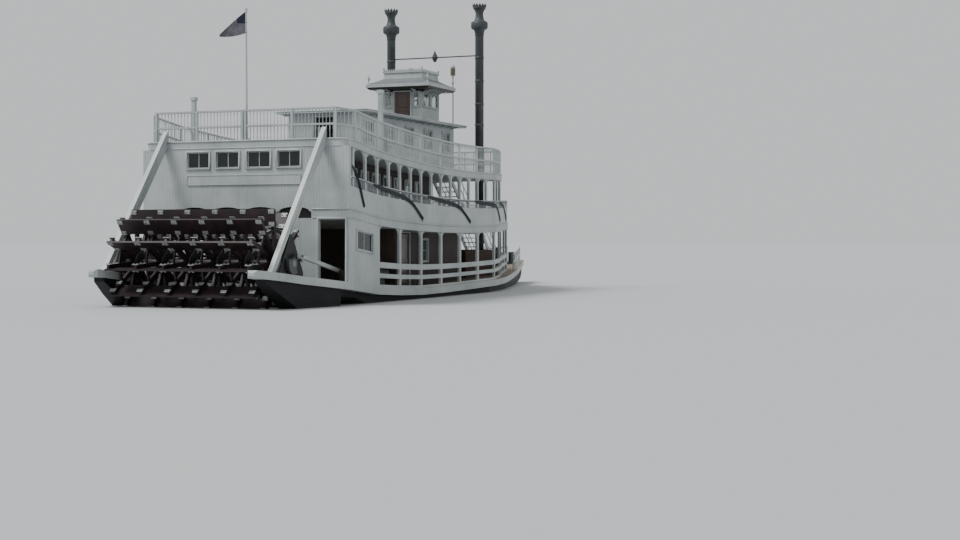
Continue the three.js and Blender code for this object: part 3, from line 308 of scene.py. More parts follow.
def ironPaint(name, colours, roughness, rust=0.25):
    # brushed black or a zinc coat over iron: thin rust where it has gone
    material, place = newMaterial(name)
    base = ramp(noise(place, 2.8, 7.0), colours, (0.3, 0.6, 0.85))
    spots = noise(place, 9.0, 8.0)
    colour = blend(ranged(spots, 0.6, 0.72, 0.0, rust), base, "#4a2f22")
    return surfaced(material, colour, roughness, (spots, 0.2, 0.002), {"Metallic": 0.15})


def brickwork():
    # fired clay brick, 215 by 65 mm, in lime mortar, coloured black-brown
    material, place = newMaterial("black-brown clay brick")
    x, y, z = axes(place)
    flat = made("CombineXYZ", {"X": calc("ADD", x, y), "Y": z})
    course = addNode("TexBrick", {
        "Vector": flat, "Color1": "#33231d", "Color2": "#463029", "Mortar": "#5a5148", "Scale": 1.0,
        "Mortar Size": 0.008, "Brick Width": 0.225, "Row Height": 0.075}).outputs
    proud = calc("SUBTRACT", 1.0, course["Fac"])
    return surfaced(material, course["Color"], 0.85, (proud, 0.6, 0.006))


def mahogany():
    # oiled mahogany under spar varnish: upright grain, warm gloss
    material, place = newMaterial("varnished mahogany")
    grain = noise(place, 1.4, 5.0, (30.0, 30.0, 2.0), {"Distortion": 0.6})
    colour = ramp(grain, "#1f110c #371e13 #50301f", (0.3, 0.5, 0.75))
    return surfaced(material, colour, 0.35, more={"Coat Weight": 0.5, "Coat Roughness": 0.12})


def windowGlass(name, colour):
    # drawn sheet glass, faintly green, slightly wavy
    material, place = newMaterial(name)
    return surfaced(material, colour, 0.03, (noise(place, 3.5, 1.0), 0.12, 0.01),
                    {"IOR": 1.5, "Transmission Weight": 0.92})


def bareBrass():
    # cast brass left bare, dulled by hands and weather
    material, place = newMaterial("cast brass")
    sheen = ranged(noise(place, 12.0, 4.0), toMin=0.25, toMax=0.5)
    return surfaced(material, "#a98644", sheen, more={"Metallic": 1.0})


def cottonBunting(name, colours):
    # dyed cotton bunting: matt, thin, faded a little unevenly, plain weave drawn coarse at 4 mm
    material, place = newMaterial(name)
    colour = ramp(noise(place, 5.0, 4.0), colours, (0.3, 0.7))
    weave = noise(place, 250.0, 1.0)
    return surfaced(material, colour, 0.9, (weave, 0.3, 0.002), {"Sheen Weight": 0.2})


tarredCanvas = "#6d7072 #77797b #55585a"
whiteTrim = housePaint("gloss white on planed pine")
whiteBoards = housePaint("gloss white on upright boards", 0.11)
mainSlab = deckAndRim("white guard rim and pine deck boards", "#7d7264 #968a79 #5b5248", 0.11)
promenadeSlab = deckAndRim("white rim and grey deck boards", "#75787a #83868a #5d6062", 0.12)
texasSlab = deckAndRim("white rim and painted canvas deck", "#7c8083 #878b8d #63676a")
roofCanvas = deckAndRim("white rim and tarred canvas roof", tarredCanvas)
recoloured(promenadeSlab, (-11.45, 0.0, 3.0), (-11.3, 2.605, 3.85), "#1d1b19")  # painted shade in the arches over the wheel
# the engine room's inner faces are darkened brown-grey as painted shade
engineRoomPaint = recoloured(housePaint("gloss white outside, painted shade inside", 0.11),
                             (-11.415, 0.0, 0.0), (0.0, 3.925, 4.0), "#7c6e61")
# the frieze under the pilothouse eave is painted shade, near black
pilothouseWalls = recoloured(housePaint("gloss white, frieze in painted shade", 0.11),
                             (1.3, 0.0, 8.885), (3.3, 1.0, 9.1), "#26221f")
# the soffit under the pilothouse eave is painted shade, near black
pilothouseCanvas = recoloured(deckAndRim("tarred canvas roof, soffit in painted shade", tarredCanvas),
                              (0.8, 0.0, 8.9), (3.8, 1.5, 9.088), "#2a2623")
# dark boards on the deck house and saloon walls, dark partly as painted shade under the decks
darkBoards = stainedAndShadedBoards()
blackHull = hullPaint()
redOak = recoloured(wheelPaint(), (-14.1, 2.7, 1.8), (-13.7, 3.4, 2.3), "#7b7e7d")  # bare steel shaft ends
blackIron = ironPaint("brushed black on cast iron", "#141516 #222426 #34373a", 0.5)
blackStack = ironPaint("heat black on rolled plate, chalked", "#33383a #44494b #585d5f", 0.55, 0.12)
oiledSteel = ironPaint("worked steel kept oiled", "#3a3c3d #4e5152 #686b6b", 0.38, 0.35)
zincSteel = ironPaint("hot dipped zinc, whitened", "#8d9190 #a4a8a6 #b9bcba", 0.5, 0.3)
clayBrick = brickwork()
redWood = mahogany()
sheetGlass = windowGlass("drawn sheet glass", "#b9c8c4")
washedGlass = windowGlass("washed sheet glass", "#e6ecea")
# the dark tint of the stern and engine room glass is painted shade from the unlit rooms behind
shadeDarkGlass = windowGlass("sheet glass darkened as painted shade", "#4d5857")
castBrass = bareBrass()
navyCotton = cottonBunting("navy cotton bunting", "#12161f #232936")
flagCotton = recoloured(cottonBunting("faded flag cotton", "#5b5d66 #7f7e83"),
                        (-12.0, 0.0, 10.12), (-11.0, 0.27, 10.6), "#20263a")  # darker upper corner

nodeFinishes = {finish: nodes.split() for finish, nodes in {
    blackHull: "hull wheel_beam_*", mainSlab: "main_deck", promenadeSlab: "promenade_deck",
    texasSlab: "texas_deck", roofCanvas: "texas_roof", pilothouseCanvas: "pilothouse_roof",
    engineRoomPaint: "engine_room_walls", pilothouseWalls: "pilothouse", clayBrick: "boiler",
    darkBoards: "deck_house saloon_walls", whiteBoards: "texas_cabin stern_face", redOak: "paddle_wheel",
    blackIron: "mooring_bitts rudder_* bearing_stand_* engine_* capstan", oiledSteel: "crank_*",
    blackStack: "stack_* stack_spreader", flagCotton: "ensign", navyCotton: "bunting_*",
    redWood: "ships_wheel wheel_stand house_door_* saloon_door cabin_door pilothouse_door",
}.items()}


def dressNodes():
    # everything else is white
    for name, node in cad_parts.items():
        general = name.replace("starboard", "*").replace("port", "*")
        fitting = [finish for finish, nodes in nodeFinishes.items() if name in nodes or general in nodes]
        finish = fitting[0] if fitting else whiteTrim
        if not node.data.materials:
            node.data.materials.append(finish)
        for slot in node.material_slots:
            slot.material = finish


# places along the boat, which rises towards both ends

sheerTable = [
    # x, half-breadth of the houses, rise of the main, promenade and texas decks
    (-16.0, 4.0, 0.86, 0.86, 0.86), (-15.7, 4.0, 0.83, 0.83, 0.83), (-14.8, 4.0, 0.73, 0.73, 0.73),
    (-13.9, 4.0, 0.62, 0.62, 0.70), (-12.7, 4.0, 0.50, 0.55, 0.70), (-11.5, 4.0, 0.38, 0.50, 0.70),
    (-9.25, 4.0, 0.14, 0.25, 0.40), (-7.4, 4.0, 0.05, 0.14, 0.25), (-5.55, 4.0, 0.0, 0.07, 0.13),
    (-3.7, 4.0, 0.01, 0.03, 0.04), (-1.85, 4.0, 0.04, 0.01, 0.0), (0.0, 4.0, 0.08, 0.02, 0.0),
    (1.85, 4.0, 0.12, 0.05, 0.02), (3.7, 3.5, 0.17, 0.09, 0.06), (5.55, 2.85, 0.22, 0.13, 0.11),
    (7.4, 2.3, 0.28, 0.18, 0.17), (9.25, 1.8, 0.35, 0.24, 0.22), (11.1, 1.5, 0.43, 0.3, 0.3),
    (12.9, 1.0, 0.52, 0.4, 0.4), (14.5, 0.5, 0.61, 0.5, 0.5), (15.75, 0.1, 0.68, 0.6, 0.6),
    (16.0, 0.03, 0.7, 0.6, 0.6),
]
floors = {"main": 1.0, "promenade": 3.3, "texas": 5.46}  # before the rise, as all heights that rise
soffits = {"promenade": 3.0, "texas": 5.18}
riseColumns = {2: floors["main"], 3: soffits["promenade"], 4: soffits["texas"]}
doorSill = 0.13  # of the level cabin over the texas deck


def tabled(rows, column, at):
    # a column read between the rows, whose first column grows
    if at <= rows[0][0]:
        return rows[0][column]
    for low, high in zip(rows, rows[1:]):
        if at <= high[0]:
            return between(low[column], high[column], (at - low[0]) / (high[0] - low[0]))
    return rows[-1][column]


def houseHalf(x):
    return tabled(sheerTable, 1, x)


def risen(x, z):
    return z + tabled([(level, tabled(sheerTable, column, x)) for column, level in riseColumns.items()], 1, z)


def unrisen(x, z):
    return z


def stations(x0, x1):
    return [x0] + [row[0] for row in sheerTable if x0 + 0.02 < row[0] < x1 - 0.02] + [x1]


def raised(plan, z, side=1):
    return [Vector((x, side * y, risen(x, z))) for x, y in plan]


def sideLine(side, x0, x1, inset, z):
    return raised([(x, houseHalf(x) - inset) for x in stations(x0, x1)], z, side)


# Geometry Nodes trees for what repeats or follows a line

def newTree(name, sockets):
    # takes a mesh, the named amounts and a finish
    tree = bpy.data.node_groups.new(name, "GeometryNodeTree")
    for way in ("INPUT", "OUTPUT"):
        tree.interface.new_socket("Geometry", in_out=way, socket_type="NodeSocketGeometry")
    for label, kind in {**sockets, "Finish": "Material"}.items():
        tree.interface.new_socket(label, in_out="INPUT", socket_type="NodeSocket" + kind)
    return tree, addNode("NodeGroupInput", {}, tree=tree).outputs


def closeTree(given, geometry):
    whole = made("RealizeInstances", {"Geometry": geometry})
    finished = made("SetMaterial", {"Geometry": whole, "Material": given["Finish"]})
    return addNode("NodeGroupOutput", {"Geometry": finished}).id_data


def copied(given, points, turn, more=None):
    part = made("ObjectInfo", {"Object": given["Part"]}, output="Geometry")
    copies = {"Points": points, "Instance": part, "Rotation": turn, **(more or {})}
    return closeTree(given, made("InstanceOnPoints", copies))


def spacedTree():
    # copies of a part at equal steps along each line, kept upright
    tree, given = newTree("spaced along a line", {"Spacing": "Float", "Part": "Object"})
    line = made("MeshToCurve", {"Mesh": given["Geometry"]})
    steps = made("ResampleCurve", {"Curve": line, "Length": given["Spacing"]}, {"mode": "LENGTH"})
    turn = made("FunctionNodeAlignRotationToVector", {"Vector": source(tree, "InputTangent")},
                {"axis": "X", "pivot_axis": "Z"})
    return copied(given, steps, turn)


def stampedTree():
    # copies of a part at points that carry their own turn and growth
    tree, given = newTree("stamped at points", {"Part": "Object"})
    turn, growth = [source(tree, "InputNamedAttribute", 0, {"Name": name}, {"data_type": "FLOAT_VECTOR"})
                    for name in ("turn", "growth")]
    rotation = made("FunctionNodeEulerToRotation", {"Euler": turn})
    return copied(given, given["Geometry"], rotation, {"Scale": growth})


def sweptTree(name, section, sockets, upright=False):
    # a bar along each line, the sockets give the size of its section
    _, given = newTree(name, sockets)
    line = made("MeshToCurve", {"Mesh": given["Geometry"]})
    if upright:
        line = made("SetCurveNormal", {"Curve": line}, {"mode": "Z_UP"})
    profile = made("CurvePrimitive" + section, {label: given[label] for label in sockets})
    return closeTree(given, made("CurveToMesh", {"Curve": line, "Profile Curve": profile, "Fill Caps": True}))


spaced = spacedTree()
stamped = stampedTree()
oblong = {"Width": "Float", "Height": "Float"}
levelMoulding = sweptTree("level moulding", "Quadrilateral", oblong, upright=True)
frameMoulding = sweptTree("frame moulding", "Quadrilateral", oblong)
roundRod = sweptTree("round rod", "Circle", {"Radius": "Float", "Resolution": "Int"})


def carried(name, base, body="boat"):
    # the shape under an object's modifier, kept as a plain mesh on its body
    graph = bpy.context.evaluated_depsgraph_get()
    result = linked(name, bpy.data.meshes.new_from_object(base.evaluated_get(graph)))
    bpy.data.objects.remove(base)
    if not len(result.data.polygons):
        raise RuntimeError(name + " came out empty")
    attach(result, body)
    return result


def grown(name, mesh, tree, amounts, finish=whiteTrim, body="boat"):
    base = linked(name + "Base", mesh)
    modifier = base.modifiers.new("shape", "NODES")
    modifier.node_group = tree
    settings = {**amounts, "Finish": finish}
    for item in tree.interface.items_tree:
        if item.in_out == "INPUT" and item.name in settings:
            modifier[item.identifier] = settings[item.name]
    return carried(name, base, body)


def thickened(name, mesh, thickness, offset, finish):
    # offset: 0 keeps the faces in the middle, 1 leaves them at the back
    mesh.materials.append(finish)
    base = linked(name + "Base", mesh)
    solid = base.modifiers.new("thickness", "SOLIDIFY")
    solid.thickness = thickness
    solid.offset = offset
    return carried(name, base)


def lineMesh(lines, closed=False):
    points, edges = [], []
    for line in lines:
        ring = range(len(points), len(points) + len(line))
        points += line
        edges += zip(ring, ring[1:])
        if closed:
            edges.append((ring[-1], ring[0]))
    return newMesh("lines", points, edges, [])


def framed(name, lines, size, closed=True, finish=whiteTrim, body="boat"):
    return grown(name, lineMesh(lines, closed), frameMoulding, {"Width": size, "Height": size}, finish, body)


def rodded(name, lines, radius, resolution, finish=whiteTrim):
    return grown(name, lineMesh(lines), roundRod, {"Radius": radius, "Resolution": resolution}, finish)


def stamp(name, part, places, finish=whiteTrim, body="boat"):
    # places: location, and where needed turn in radians about X, Y and Z, and growth
    mesh = newMesh("places", [place[0] for place in places], [], [])
    for label, index, usual in (("turn", 1, (0, 0, 0)), ("growth", 2, (1, 1, 1))):
        attribute = mesh.attributes.new(label, "FLOAT_VECTOR", "POINT")
        for item, place in zip(attribute.data, places):
            item.vector = place[index] if len(place) > index else usual
    return grown(name, mesh, stamped, {"Part": part}, finish, body)


# closed forms of points and faces, and the parts made of them to be copied

patterns = []


def pattern(*forms, smooth=False):
    points, faces = [], []
    for more, sidesOf in forms:
        faces += [tuple(len(points) + n for n in face) for face in sidesOf]
        points += more
    mesh = newMesh("part", points, [], faces)
    shape = bmesh.new()
    shape.from_mesh(mesh)
    bmesh.ops.remove_doubles(shape, verts=shape.verts, dist=0.00005)
    bmesh.ops.recalc_face_normals(shape, faces=shape.faces)
    shape.to_mesh(mesh)
    shape.free()
    if smooth:
        mesh.shade_smooth()
    patterns.append(linked("part", mesh))
    return patterns[-1]


def turned(profile, segments=12):
    # turned about Z from (radius, height) points
    count = len(profile)
    points = [polar((0, 0), r, angle, z) for angle in turns(segments) for r, z in profile]
    faces = [(i * count + k, j * count + k, j * count + k + 1, i * count + k + 1)
             for i in range(segments) for j in [(i + 1) % segments] for k in range(count - 1)]
    return pattern((points, faces), smooth=segments > 8)


def hoop(radius, tube, segments, section):
    circle = [polar((radius, 0), tube, turn, 0)[:2] for turn in turns(section)]
    return turned(circle + circle[:1], segments)


def prism(outline, low, high, standing=False):
    # an outline in X and Y made thick along Z, or standing in X and Z and made thick along Y
    count = len(outline)
    points = [(a, c, b) if standing else (a, b, c) for c in (low, high) for a, b in outline]
    faces = [tuple(range(count)), tuple(range(2 * count - 1, count - 1, -1))]
    faces += [(i, (i + 1) % count, count + (i + 1) % count, count + i) for i in range(count)]
    return points, faces


def box(x0, x1, y0, y1, z0, z1):
    return prism([(x0, y0), (x1, y0), (x1, y1), (x0, y1)], z0, z1)


def slab(outline, thickness):
    return pattern(prism(outline, -thickness / 2, thickness / 2, standing=True))


# rails: turned spindles under the handrails

rails = {
    # ends: straight runs in plan, past the one that follows the side
    "promenade": {"gap": 0.115, "height": 0.275, "foot": 3.99, "inset": 0.07, "from": -11.35, "to": 8.5,
                  "ends": [((8.54, 0.72), (8.54, 1.95))]},
    "texas": {"gap": 0.13, "height": 0.98, "foot": floors["texas"], "inset": 0.08, "from": -10.85, "to": 5.42,
              "ends": [((5.49, 0.6), (5.49, 2.75)), ((-11.44, 0.12), (-11.44, 3.4)),
                       ((-11.4, 3.5), (-10.98, 3.88))]},
}
spindle = {
    "radius": 0.017,
    "profile": [(0, 0), (1, 0), (1, 0.12), (0.6, 0.16), (1.15, 0.36), (0.7, 0.62), (0.6, 0.84),
                (1, 0.88), (1, 1), (0, 1)],  # shares of the radius and height
}


def addSpindles():
    parts = {deck: turned([(r * spindle["radius"], z * rail["height"]) for r, z in spindle["profile"]], 8)
             for deck, rail in rails.items()}
    for name, side in sides:
        for deck, rail in rails.items():
            lines = [sideLine(side, rail["from"], rail["to"], rail["inset"], rail["foot"])]
            lines += [raised(end, rail["foot"], side) for end in rail["ends"]]
            grown(f"{deck}Spindles_{name}", lineMesh(lines), spaced, {
                "Spacing": rail["gap"], "Part": parts[deck]})


# windows

joinery = {
    "architrave": 0.075,
    "sash": 0.055,
    "bar": 0.026,
    "glass": 0.006,
    "trimMargin": 0.02,
    "trimOut": 0.004,
    "sashLap": 0.018,
    "glassLap": 0.01,
}


def alongSides(y, spans):
    # edges of openings in plan on both sides, each from left to right as seen from outside
    return [[(x, side * y) for x in span][::-side] for _, side in sides for span in spans]


def acrossWall(x, facing, spans):
    return [[(x, y) for y in span][::facing] for span in spans]


def widened(quad, margin, out):
    u = (quad[1] - quad[0]).normalized()
    v = (quad[3] - quad[0]).normalized()
    n = u.cross(v).normalized()
    signs = [(-1, -1), (1, -1), (1, 1), (-1, 1)]
    return [p + u * (a * margin) + v * (b * margin) + n * out for p, (a, b) in zip(quad, signs)]


def crossBars(quad, columns, rows):
    a, b, c, d = quad
    upright = [[a.lerp(b, i / columns), d.lerp(c, i / columns)] for i in range(1, columns)]
    return upright + [[a.lerp(d, i / rows), b.lerp(c, i / rows)] for i in range(1, rows)]


pilothousePair = ((-0.77, -0.06), (0.06, 0.77))  # either side of a wall's middle
windowSets = {
    # name: openings in the outer face, foot, head, how they rise, wall, columns and rows of panes, glass
    "sternWindows": (acrossWall(-11.5, -1, [(-2.2, -1.33), (-1.05, -0.16), (0.16, 1.05), (1.33, 2.2)]),
                     5.21, 5.77, unrisen, 0.1, 2, 1, shadeDarkGlass),
    "engineRoomWindows": (alongSides(4.0, [(-10.93, -9.71)]), 2.08, 2.68, risen, 0.08, 2, 1, shadeDarkGlass),
    "deckHouseWindows": (alongSides(2.8, [(-6.875, -6.075), (-3.175, -2.375)]), 1.9, 2.75, risen, 0.08, 2, 2,
                         sheetGlass),
    "saloonWindows": (alongSides(2.8, [(-10.9797 + 0.925 * i, -10.4197 + 0.925 * i) for i in range(9)])
                      + acrossWall(-1.85, 1, [(-2.05, -1.35), (1.35, 2.05)]),
                      4.0, 4.9, risen, 0.08, 1, 2, sheetGlass),
    "cabinWindows": (alongSides(1.5, [(-5.28 + 1.85 * i, -4.52 + 1.85 * i) for i in range(5)]),
                     6.42, 7.22, unrisen, 0.06, 2, 2, sheetGlass),
    "pilothouseWindows": (alongSides(0.89, [(2.3 + a, 2.3 + b) for a, b in pilothousePair])
                          + acrossWall(3.19, 1, pilothousePair)
                          + acrossWall(1.41, -1, [(-0.77, -0.48), (0.48, 0.77)]),
                          8.3, 8.88, unrisen, 0.05, 1, 1, washedGlass),
}


def addWindows():
    for name, (openings, z0, z1, up, wall, columns, rows, glass) in windowSets.items():
        quads = [[Vector((*p, up(p[0], z))) for p, z in ((a, z0), (b, z0), (b, z1), (a, z1))]
                 for a, b in openings]
        trims = [widened(quad, joinery["trimMargin"], joinery["trimOut"]) for quad in quads]
        sashes = [widened(quad, -joinery["sashLap"], -0.5 * wall) for quad in quads]
        framed(name + "Trim", trims, joinery["architrave"])
        framed(name + "Sash", sashes, joinery["sash"])
        bars = [line for quad in sashes for line in crossBars(quad, columns, rows)]
        if bars:
            framed(name + "Bars", bars, joinery["bar"], closed=False)
        corners = [p for quad in quads for p in widened(quad, -joinery["glassLap"], -0.5 * wall)]
        faces = [tuple(range(4 * i, 4 * i + 4)) for i in range(len(quads))]
        thickened(name + "Glass", newMesh("panes", corners, [], faces), joinery["glass"], 1.0, glass)


# beads along the deck and roof edges

beads = {
    # width, of which half stands proud of the rim, and height, then the heights on the promenade and
    # texas decks and on the cabin roof, and the drop from the deck heights
    "Nosing": (0.05, 0.05, floors["promenade"], floors["texas"], 7.578, -0.026),
    "Bead": (0.036, 0.03, soffits["promenade"], soffits["texas"], 7.516, 0.02),
}
beadRims = {
    "wheelCorner": [(-11.5, 2.64)],
    "sternCorner": [(-11.5, 3.68), (-11.4, 3.85), (-11.25, 3.95), (-11.05, 4.0)],
    "roof": [(-5.85, 1.9), (3.8, 1.9)],
}


def edgeLine(rim, z, drop=0.0, up=risen):
    # round a deck, out along starboard and back along port
    return [Vector((x, y, up(x, z) + drop)) for x, y in [(x, -y) for x, y in rim] + rim[::-1]]


def addBeads():
    promenade = beadRims["wheelCorner"] + [(x, houseHalf(x)) for x in stations(-11.5, 8.6)]
    texas = beadRims["sternCorner"] + [(x, houseHalf(x)) for x in stations(-11.05, 5.55)[1:]]
    for name, (width, height, promenadeZ, texasZ, roofZ, drop) in beads.items():
        line = lineMesh([edgeLine(promenade, promenadeZ, drop)])
        loops = lineMesh([edgeLine(texas, texasZ, drop), edgeLine(beadRims["roof"], roofZ, up=unrisen)], True)
        for deck, mesh in (("promenade", line), ("upper", loops)):
            grown(f"{deck}Edge{name}", mesh, levelMoulding, {"Width": width, "Height": height})


# sawn brackets that round the upper corners of the bays

brackets = {
    # radius, posts along the side, half a post, height, inset from the side of the houses
    "arcade": (0.26, [-9.17, -7.4, -5.55, -3.7, -1.85, 0.0, 1.85, 3.7, 5.55, 7.4, 8.42], 0.08,
               soffits["promenade"], 0.075),
    "promenade": (0.28, [-11.1 + 0.925 * i for i in range(18)], 0.06, soffits["texas"], 0.07),
}
bracket = {"thickness": 0.05, "rim": 0.012, "drop": 0.001, "slopeStep": 0.2}


def bracketPart(radius):
    reach = radius - bracket["rim"]
    arc = [(radius - reach * sin(a), -radius + reach * cos(a))
           for a in [radians(15 * i) for i in range(7)]]
    return slab([(0, 0), (radius, 0), *arc, (0, -radius)], bracket["thickness"])


def bayCorners(side, posts, half, z, inset):
    # each corner leans with the sheer and sweeps with the side
    places, step = [], bracket["slopeStep"]
    for x0, x1 in zip(posts, posts[1:]):
        for x, way, facing in ((x0 + half, step, 0.0), (x1 - half, -step, pi)):
            lean = atan2(risen(x + way, z) - risen(x, z), step)
            sweep = atan2(side * (houseHalf(x + step) - houseHalf(x)), step)
            place = (x, side * (houseHalf(x) - inset), risen(x, z) - bracket["drop"])
            places.append((place, (0.0, -lean, facing + sweep)))
    return places


def addBrackets():
    parts = {row: bracketPart(sizes[0]) for row, sizes in brackets.items()}
    for name, side in sides:
        for row, (_, *bays) in brackets.items():
            stamp(f"{row}Brackets_{name}", parts[row], bayCorners(side, *bays))


# doors and doorways

cabinFoot = {x: risen(x, floors["texas"]) + doorSill for x in (3.3, -5.6)}
doors = {
    # name: body, then corner at the hinge, way across, way out, width, foot, head
    **{f"houseDoor_{name}": (f"house_door_leaf_{name}", (-4.13, side * 2.8), (-1, 0), (0, side), 0.92,
                             risen(-4.13, floors["main"]), risen(-4.13, 2.95)) for name, side in sides},
    "saloonDoor": ("saloon_door_leaf", (-1.85, 0.48), (0, -1), (1, 0), 0.96,
                   risen(-1.85, floors["promenade"]), risen(-1.85, 5.0)),
    "cabinDoor": ("cabin_door_leaf", (3.3, 0.4), (0, -1), (1, 0), 0.8, cabinFoot[3.3], 7.35),
    "pilothouseDoor": ("pilothouse_door_leaf", (1.41, 0.35), (0, -1), (-1, 0), 0.7, 7.6, 8.89),
}
openDoorways = [((x, y), (0, 1), (way, 0), width, risen(x, floors["main"]), risen(x, head))
                for x, y, way, width, head in (
                    (-11.5, -3.85, -1, 0.95, 2.95), (-11.5, 2.9, -1, 0.95, 2.95),
                    (-11.5, -1.85, -1, 3.7, 2.78), (0.7, -0.45, 1, 0.9, 2.9), (-7.56, -0.45, -1, 0.9, 2.9))]
openDoorways.append(((-5.6, -0.4), (0, 1), (-1, 0), 0.8, cabinFoot[-5.6], 7.35))

leafParts = {
    "stile": 0.11,
    "moulding": 0.028,
    "panels": ((0.08, 0.42), (0.5, 0.94)),  # shares of the leaf's height
    "panelLift": 0.03,
    "panelGap": 0.05,
    "knobHeight": 0.98,
    "knobInset": 0.065,
    "knobBelowHead": 0.3,
    "knob": [(0, 0), (0.026, 0), (0.026, 0.006), (0.011, 0.012), (0.011, 0.03), (0.027, 0.042),
             (0.027, 0.056), (0.014, 0.064), (0, 0.065)],
    "thickness": 0.045,
    "trim": 0.07,
    "trimStandOff": 0.05,
    "trimLift": 0.003,
    "trimOut": 0.006,
}


def doorPoint(leaf, a, b, z):
    # across the leaf, out from it and up
    (x, y), across, out = leaf[:3]
    return Vector((x + across[0] * a + out[0] * b, y + across[1] * a + out[1] * b, z))


def addDoors():
    knob = turned(leafParts["knob"])
    stile, off = leafParts["stile"], leafParts["trimStandOff"]
    for name, (body, *leaf) in doors.items():
        out, width, foot, head = leaf[2:]
        knobZ = min(foot + leafParts["knobHeight"], head - leafParts["knobBelowHead"])
        frames, knobs = [], []
        for face, way in ((0.0, 1), (-leafParts["thickness"], -1)):
            for shares in leafParts["panels"]:
                z0, z1 = [foot + leafParts["panelLift"] + (head - foot) * share for share in shares]
                z1 -= leafParts["panelGap"]
                frames.append([doorPoint(leaf, a, face, z) for a, z in (
                    (stile, z0), (width - stile, z0), (width - stile, z1), (stile, z1))])
            heading = atan2(way * out[1], way * out[0])
            knobs.append((doorPoint(leaf, width - leafParts["knobInset"], face, knobZ),
                          (0.0, pi / 2, heading)))
        framed(name + "Panels", frames, leafParts["moulding"], finish=redWood, body=body)
        stamp(name + "Knobs", knob, knobs, castBrass, body)
    trims = []
    for leaf in [door[1:] for door in doors.values()] + openDoorways:
        width, foot, head = leaf[3:]
        edge, low, high = width + off, foot + leafParts["trimLift"], head + off
        trims.append([doorPoint(leaf, a, leafParts["trimOut"], z) for a, z in (
            (-off, low), (-off, high), (edge, high), (edge, low))])
    framed("doorwayTrim", trims, leafParts["trim"], closed=False)


# smoke stacks with riveted bands and a crown of leaves

stacks = {
    "x": 4.8,
    "y": 2.1,
    "segments": 48,
    "profile": [(0, 2.3003), (0.185, 2.3003), (0.185, 11.62), (0.2, 11.66), (0.23, 11.78), (0.25, 11.8),
                (0.33, 11.85), (0.365, 11.9), (0.365, 12.1), (0.33, 12.15), (0.25, 12.19), (0.215, 12.22),
                (0.18, 12.34), (0.165, 12.45), (0.17, 12.53), (0.195, 12.61), (0.235, 12.68), (0.27, 12.72),
                (0.285, 12.74), (0.285, 12.77), (0.26, 12.78), (0.22, 12.76), (0.2, 12.7), (0.17, 12.6),
                (0, 12.6)],
    "band": [(0.17, -0.045), (0.191, -0.045), (0.191, 0.045), (0.17, 0.045)],
    "bands": [2.6, 4.2, 7.7, 8.6, 9.6, 10.6, 11.6],  # heights of the riveted seams
    "rivet": [(0, -0.002), (0.013, -0.002), (0.011, 0.006), (0, 0.01)],
    "rivets": 24,
    "rivetRows": (-0.025, 0.025),
    "leaf": [(0.0, -0.05, 0), (0.0, 0.05, 0), (0.03, 0.062, 0.07), (0.035, 0.0, 0.175), (0.03, -0.062, 0.07)],
    "leafThickness": 0.012,
    "leaves": 14,
    "leafRing": (0.268, 12.76),  # radius and height
}


def addStacks():
    rivet = turned(stacks["rivet"], 6)
    back = [(x - stacks["leafThickness"], y, z) for x, y, z in stacks["leaf"]]
    leaf = pattern((stacks["leaf"] + back, [tuple(range(5)), tuple(range(9, 4, -1))] + [
        (i, i + 5, (i + 1) % 5 + 5, (i + 1) % 5) for i in range(5)]))
    shape = turned(stacks["profile"], stacks["segments"])
    band = turned(stacks["band"], stacks["segments"])
    for name, side in sides:
        middle = (stacks["x"], side * stacks["y"])
        tall = stamp(f"stackShape_{name}", shape, [((*middle, 0),)], blackStack)
        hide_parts(f"stack_{name}")
        stamp(f"stackBands_{name}", band, [((*middle, z),) for z in stacks["bands"]], blackStack)
        rows = [z + off for z in stacks["bands"] for off in stacks["rivetRows"]]
        rivets = [(polar(middle, stacks["band"][1][0], angle, z), (0, pi / 2, angle))
                  for angle in turns(stacks["rivets"], 0.5) for z in rows]
        radius, height = stacks["leafRing"]
        leaves = [(polar(middle, radius, angle, height), (0, 0, angle)) for angle in turns(stacks["leaves"])]
        stamp(f"stackRivets_{name}", rivet, rivets, blackStack)
        stamp(f"stackCrown_{name}", leaf, leaves, blackStack)


# paddle wheel irons: clamps with pairs of nuts where every arm carries its bucket

wheelIrons = {
    "axis": (-13.9, 2.03),
    "arms": 12,
    "phase": 4.2,  # degrees
    "armPlanes": [-2.575, -1.545, -0.515, 0.515, 1.545, 2.575],
    "radii": (1.26, 1.66),
    "faces": ((0.115, 0.0), (-0.075, pi)),  # of the bucket and of the arm's back, and the clamp's turn
    "plate": (-0.07, 0.07, -0.1, 0.1, 0, 0.012),
    "nuts": (-0.07, 0.07),
    "nutRadius": 0.024,
    "nutHeights": (0.01, 0.045),
    "flange": [(0.14, 0), (0.34, 0), (0.34, 0.02), (0.3, 0.03), (0.2, 0.05), (0.14, 0.05)],
    "flangeOff": 0.105,
}


def addWheelIrons():
    rings = [[polar((0, y), wheelIrons["nutRadius"], a, 0)[:2] for a in turns(6)] for y in wheelIrons["nuts"]]
    clamp = pattern(box(*wheelIrons["plate"]), *[
        prism(ring, *wheelIrons["nutHeights"]) for ring in rings])
    flange = turned(wheelIrons["flange"], 32)
    axisX, axisZ = wheelIrons["axis"]
    clamps, flanges = [], []
    for y in wheelIrons["armPlanes"]:
        for turn in turns(wheelIrons["arms"]):
            lean = radians(wheelIrons["phase"]) + turn
            for radius in wheelIrons["radii"]:
                for offset, flip in wheelIrons["faces"]:
                    clamps.append(((axisX + radius * cos(lean) - offset * sin(lean), y,
                                    axisZ + radius * sin(lean) + offset * cos(lean)),
                                   (0, flip - lean, 0)))
        flanges += [((axisX, y + way * wheelIrons["flangeOff"], axisZ), (-way * pi / 2, 0, 0))
                    for way in (-1, 1)]
    stamp("wheelClamps", clamp, clamps, zincSteel, "paddle_wheel_set")
    stamp("wheelFlanges", flange, flanges, blackIron, "paddle_wheel_set")


# stern: blank name board with a bead round it

nameBoard = {"face": -11.522, "back": -11.499, "half": 2.2, "foot": 4.64, "head": 4.97, "bead": 0.03}


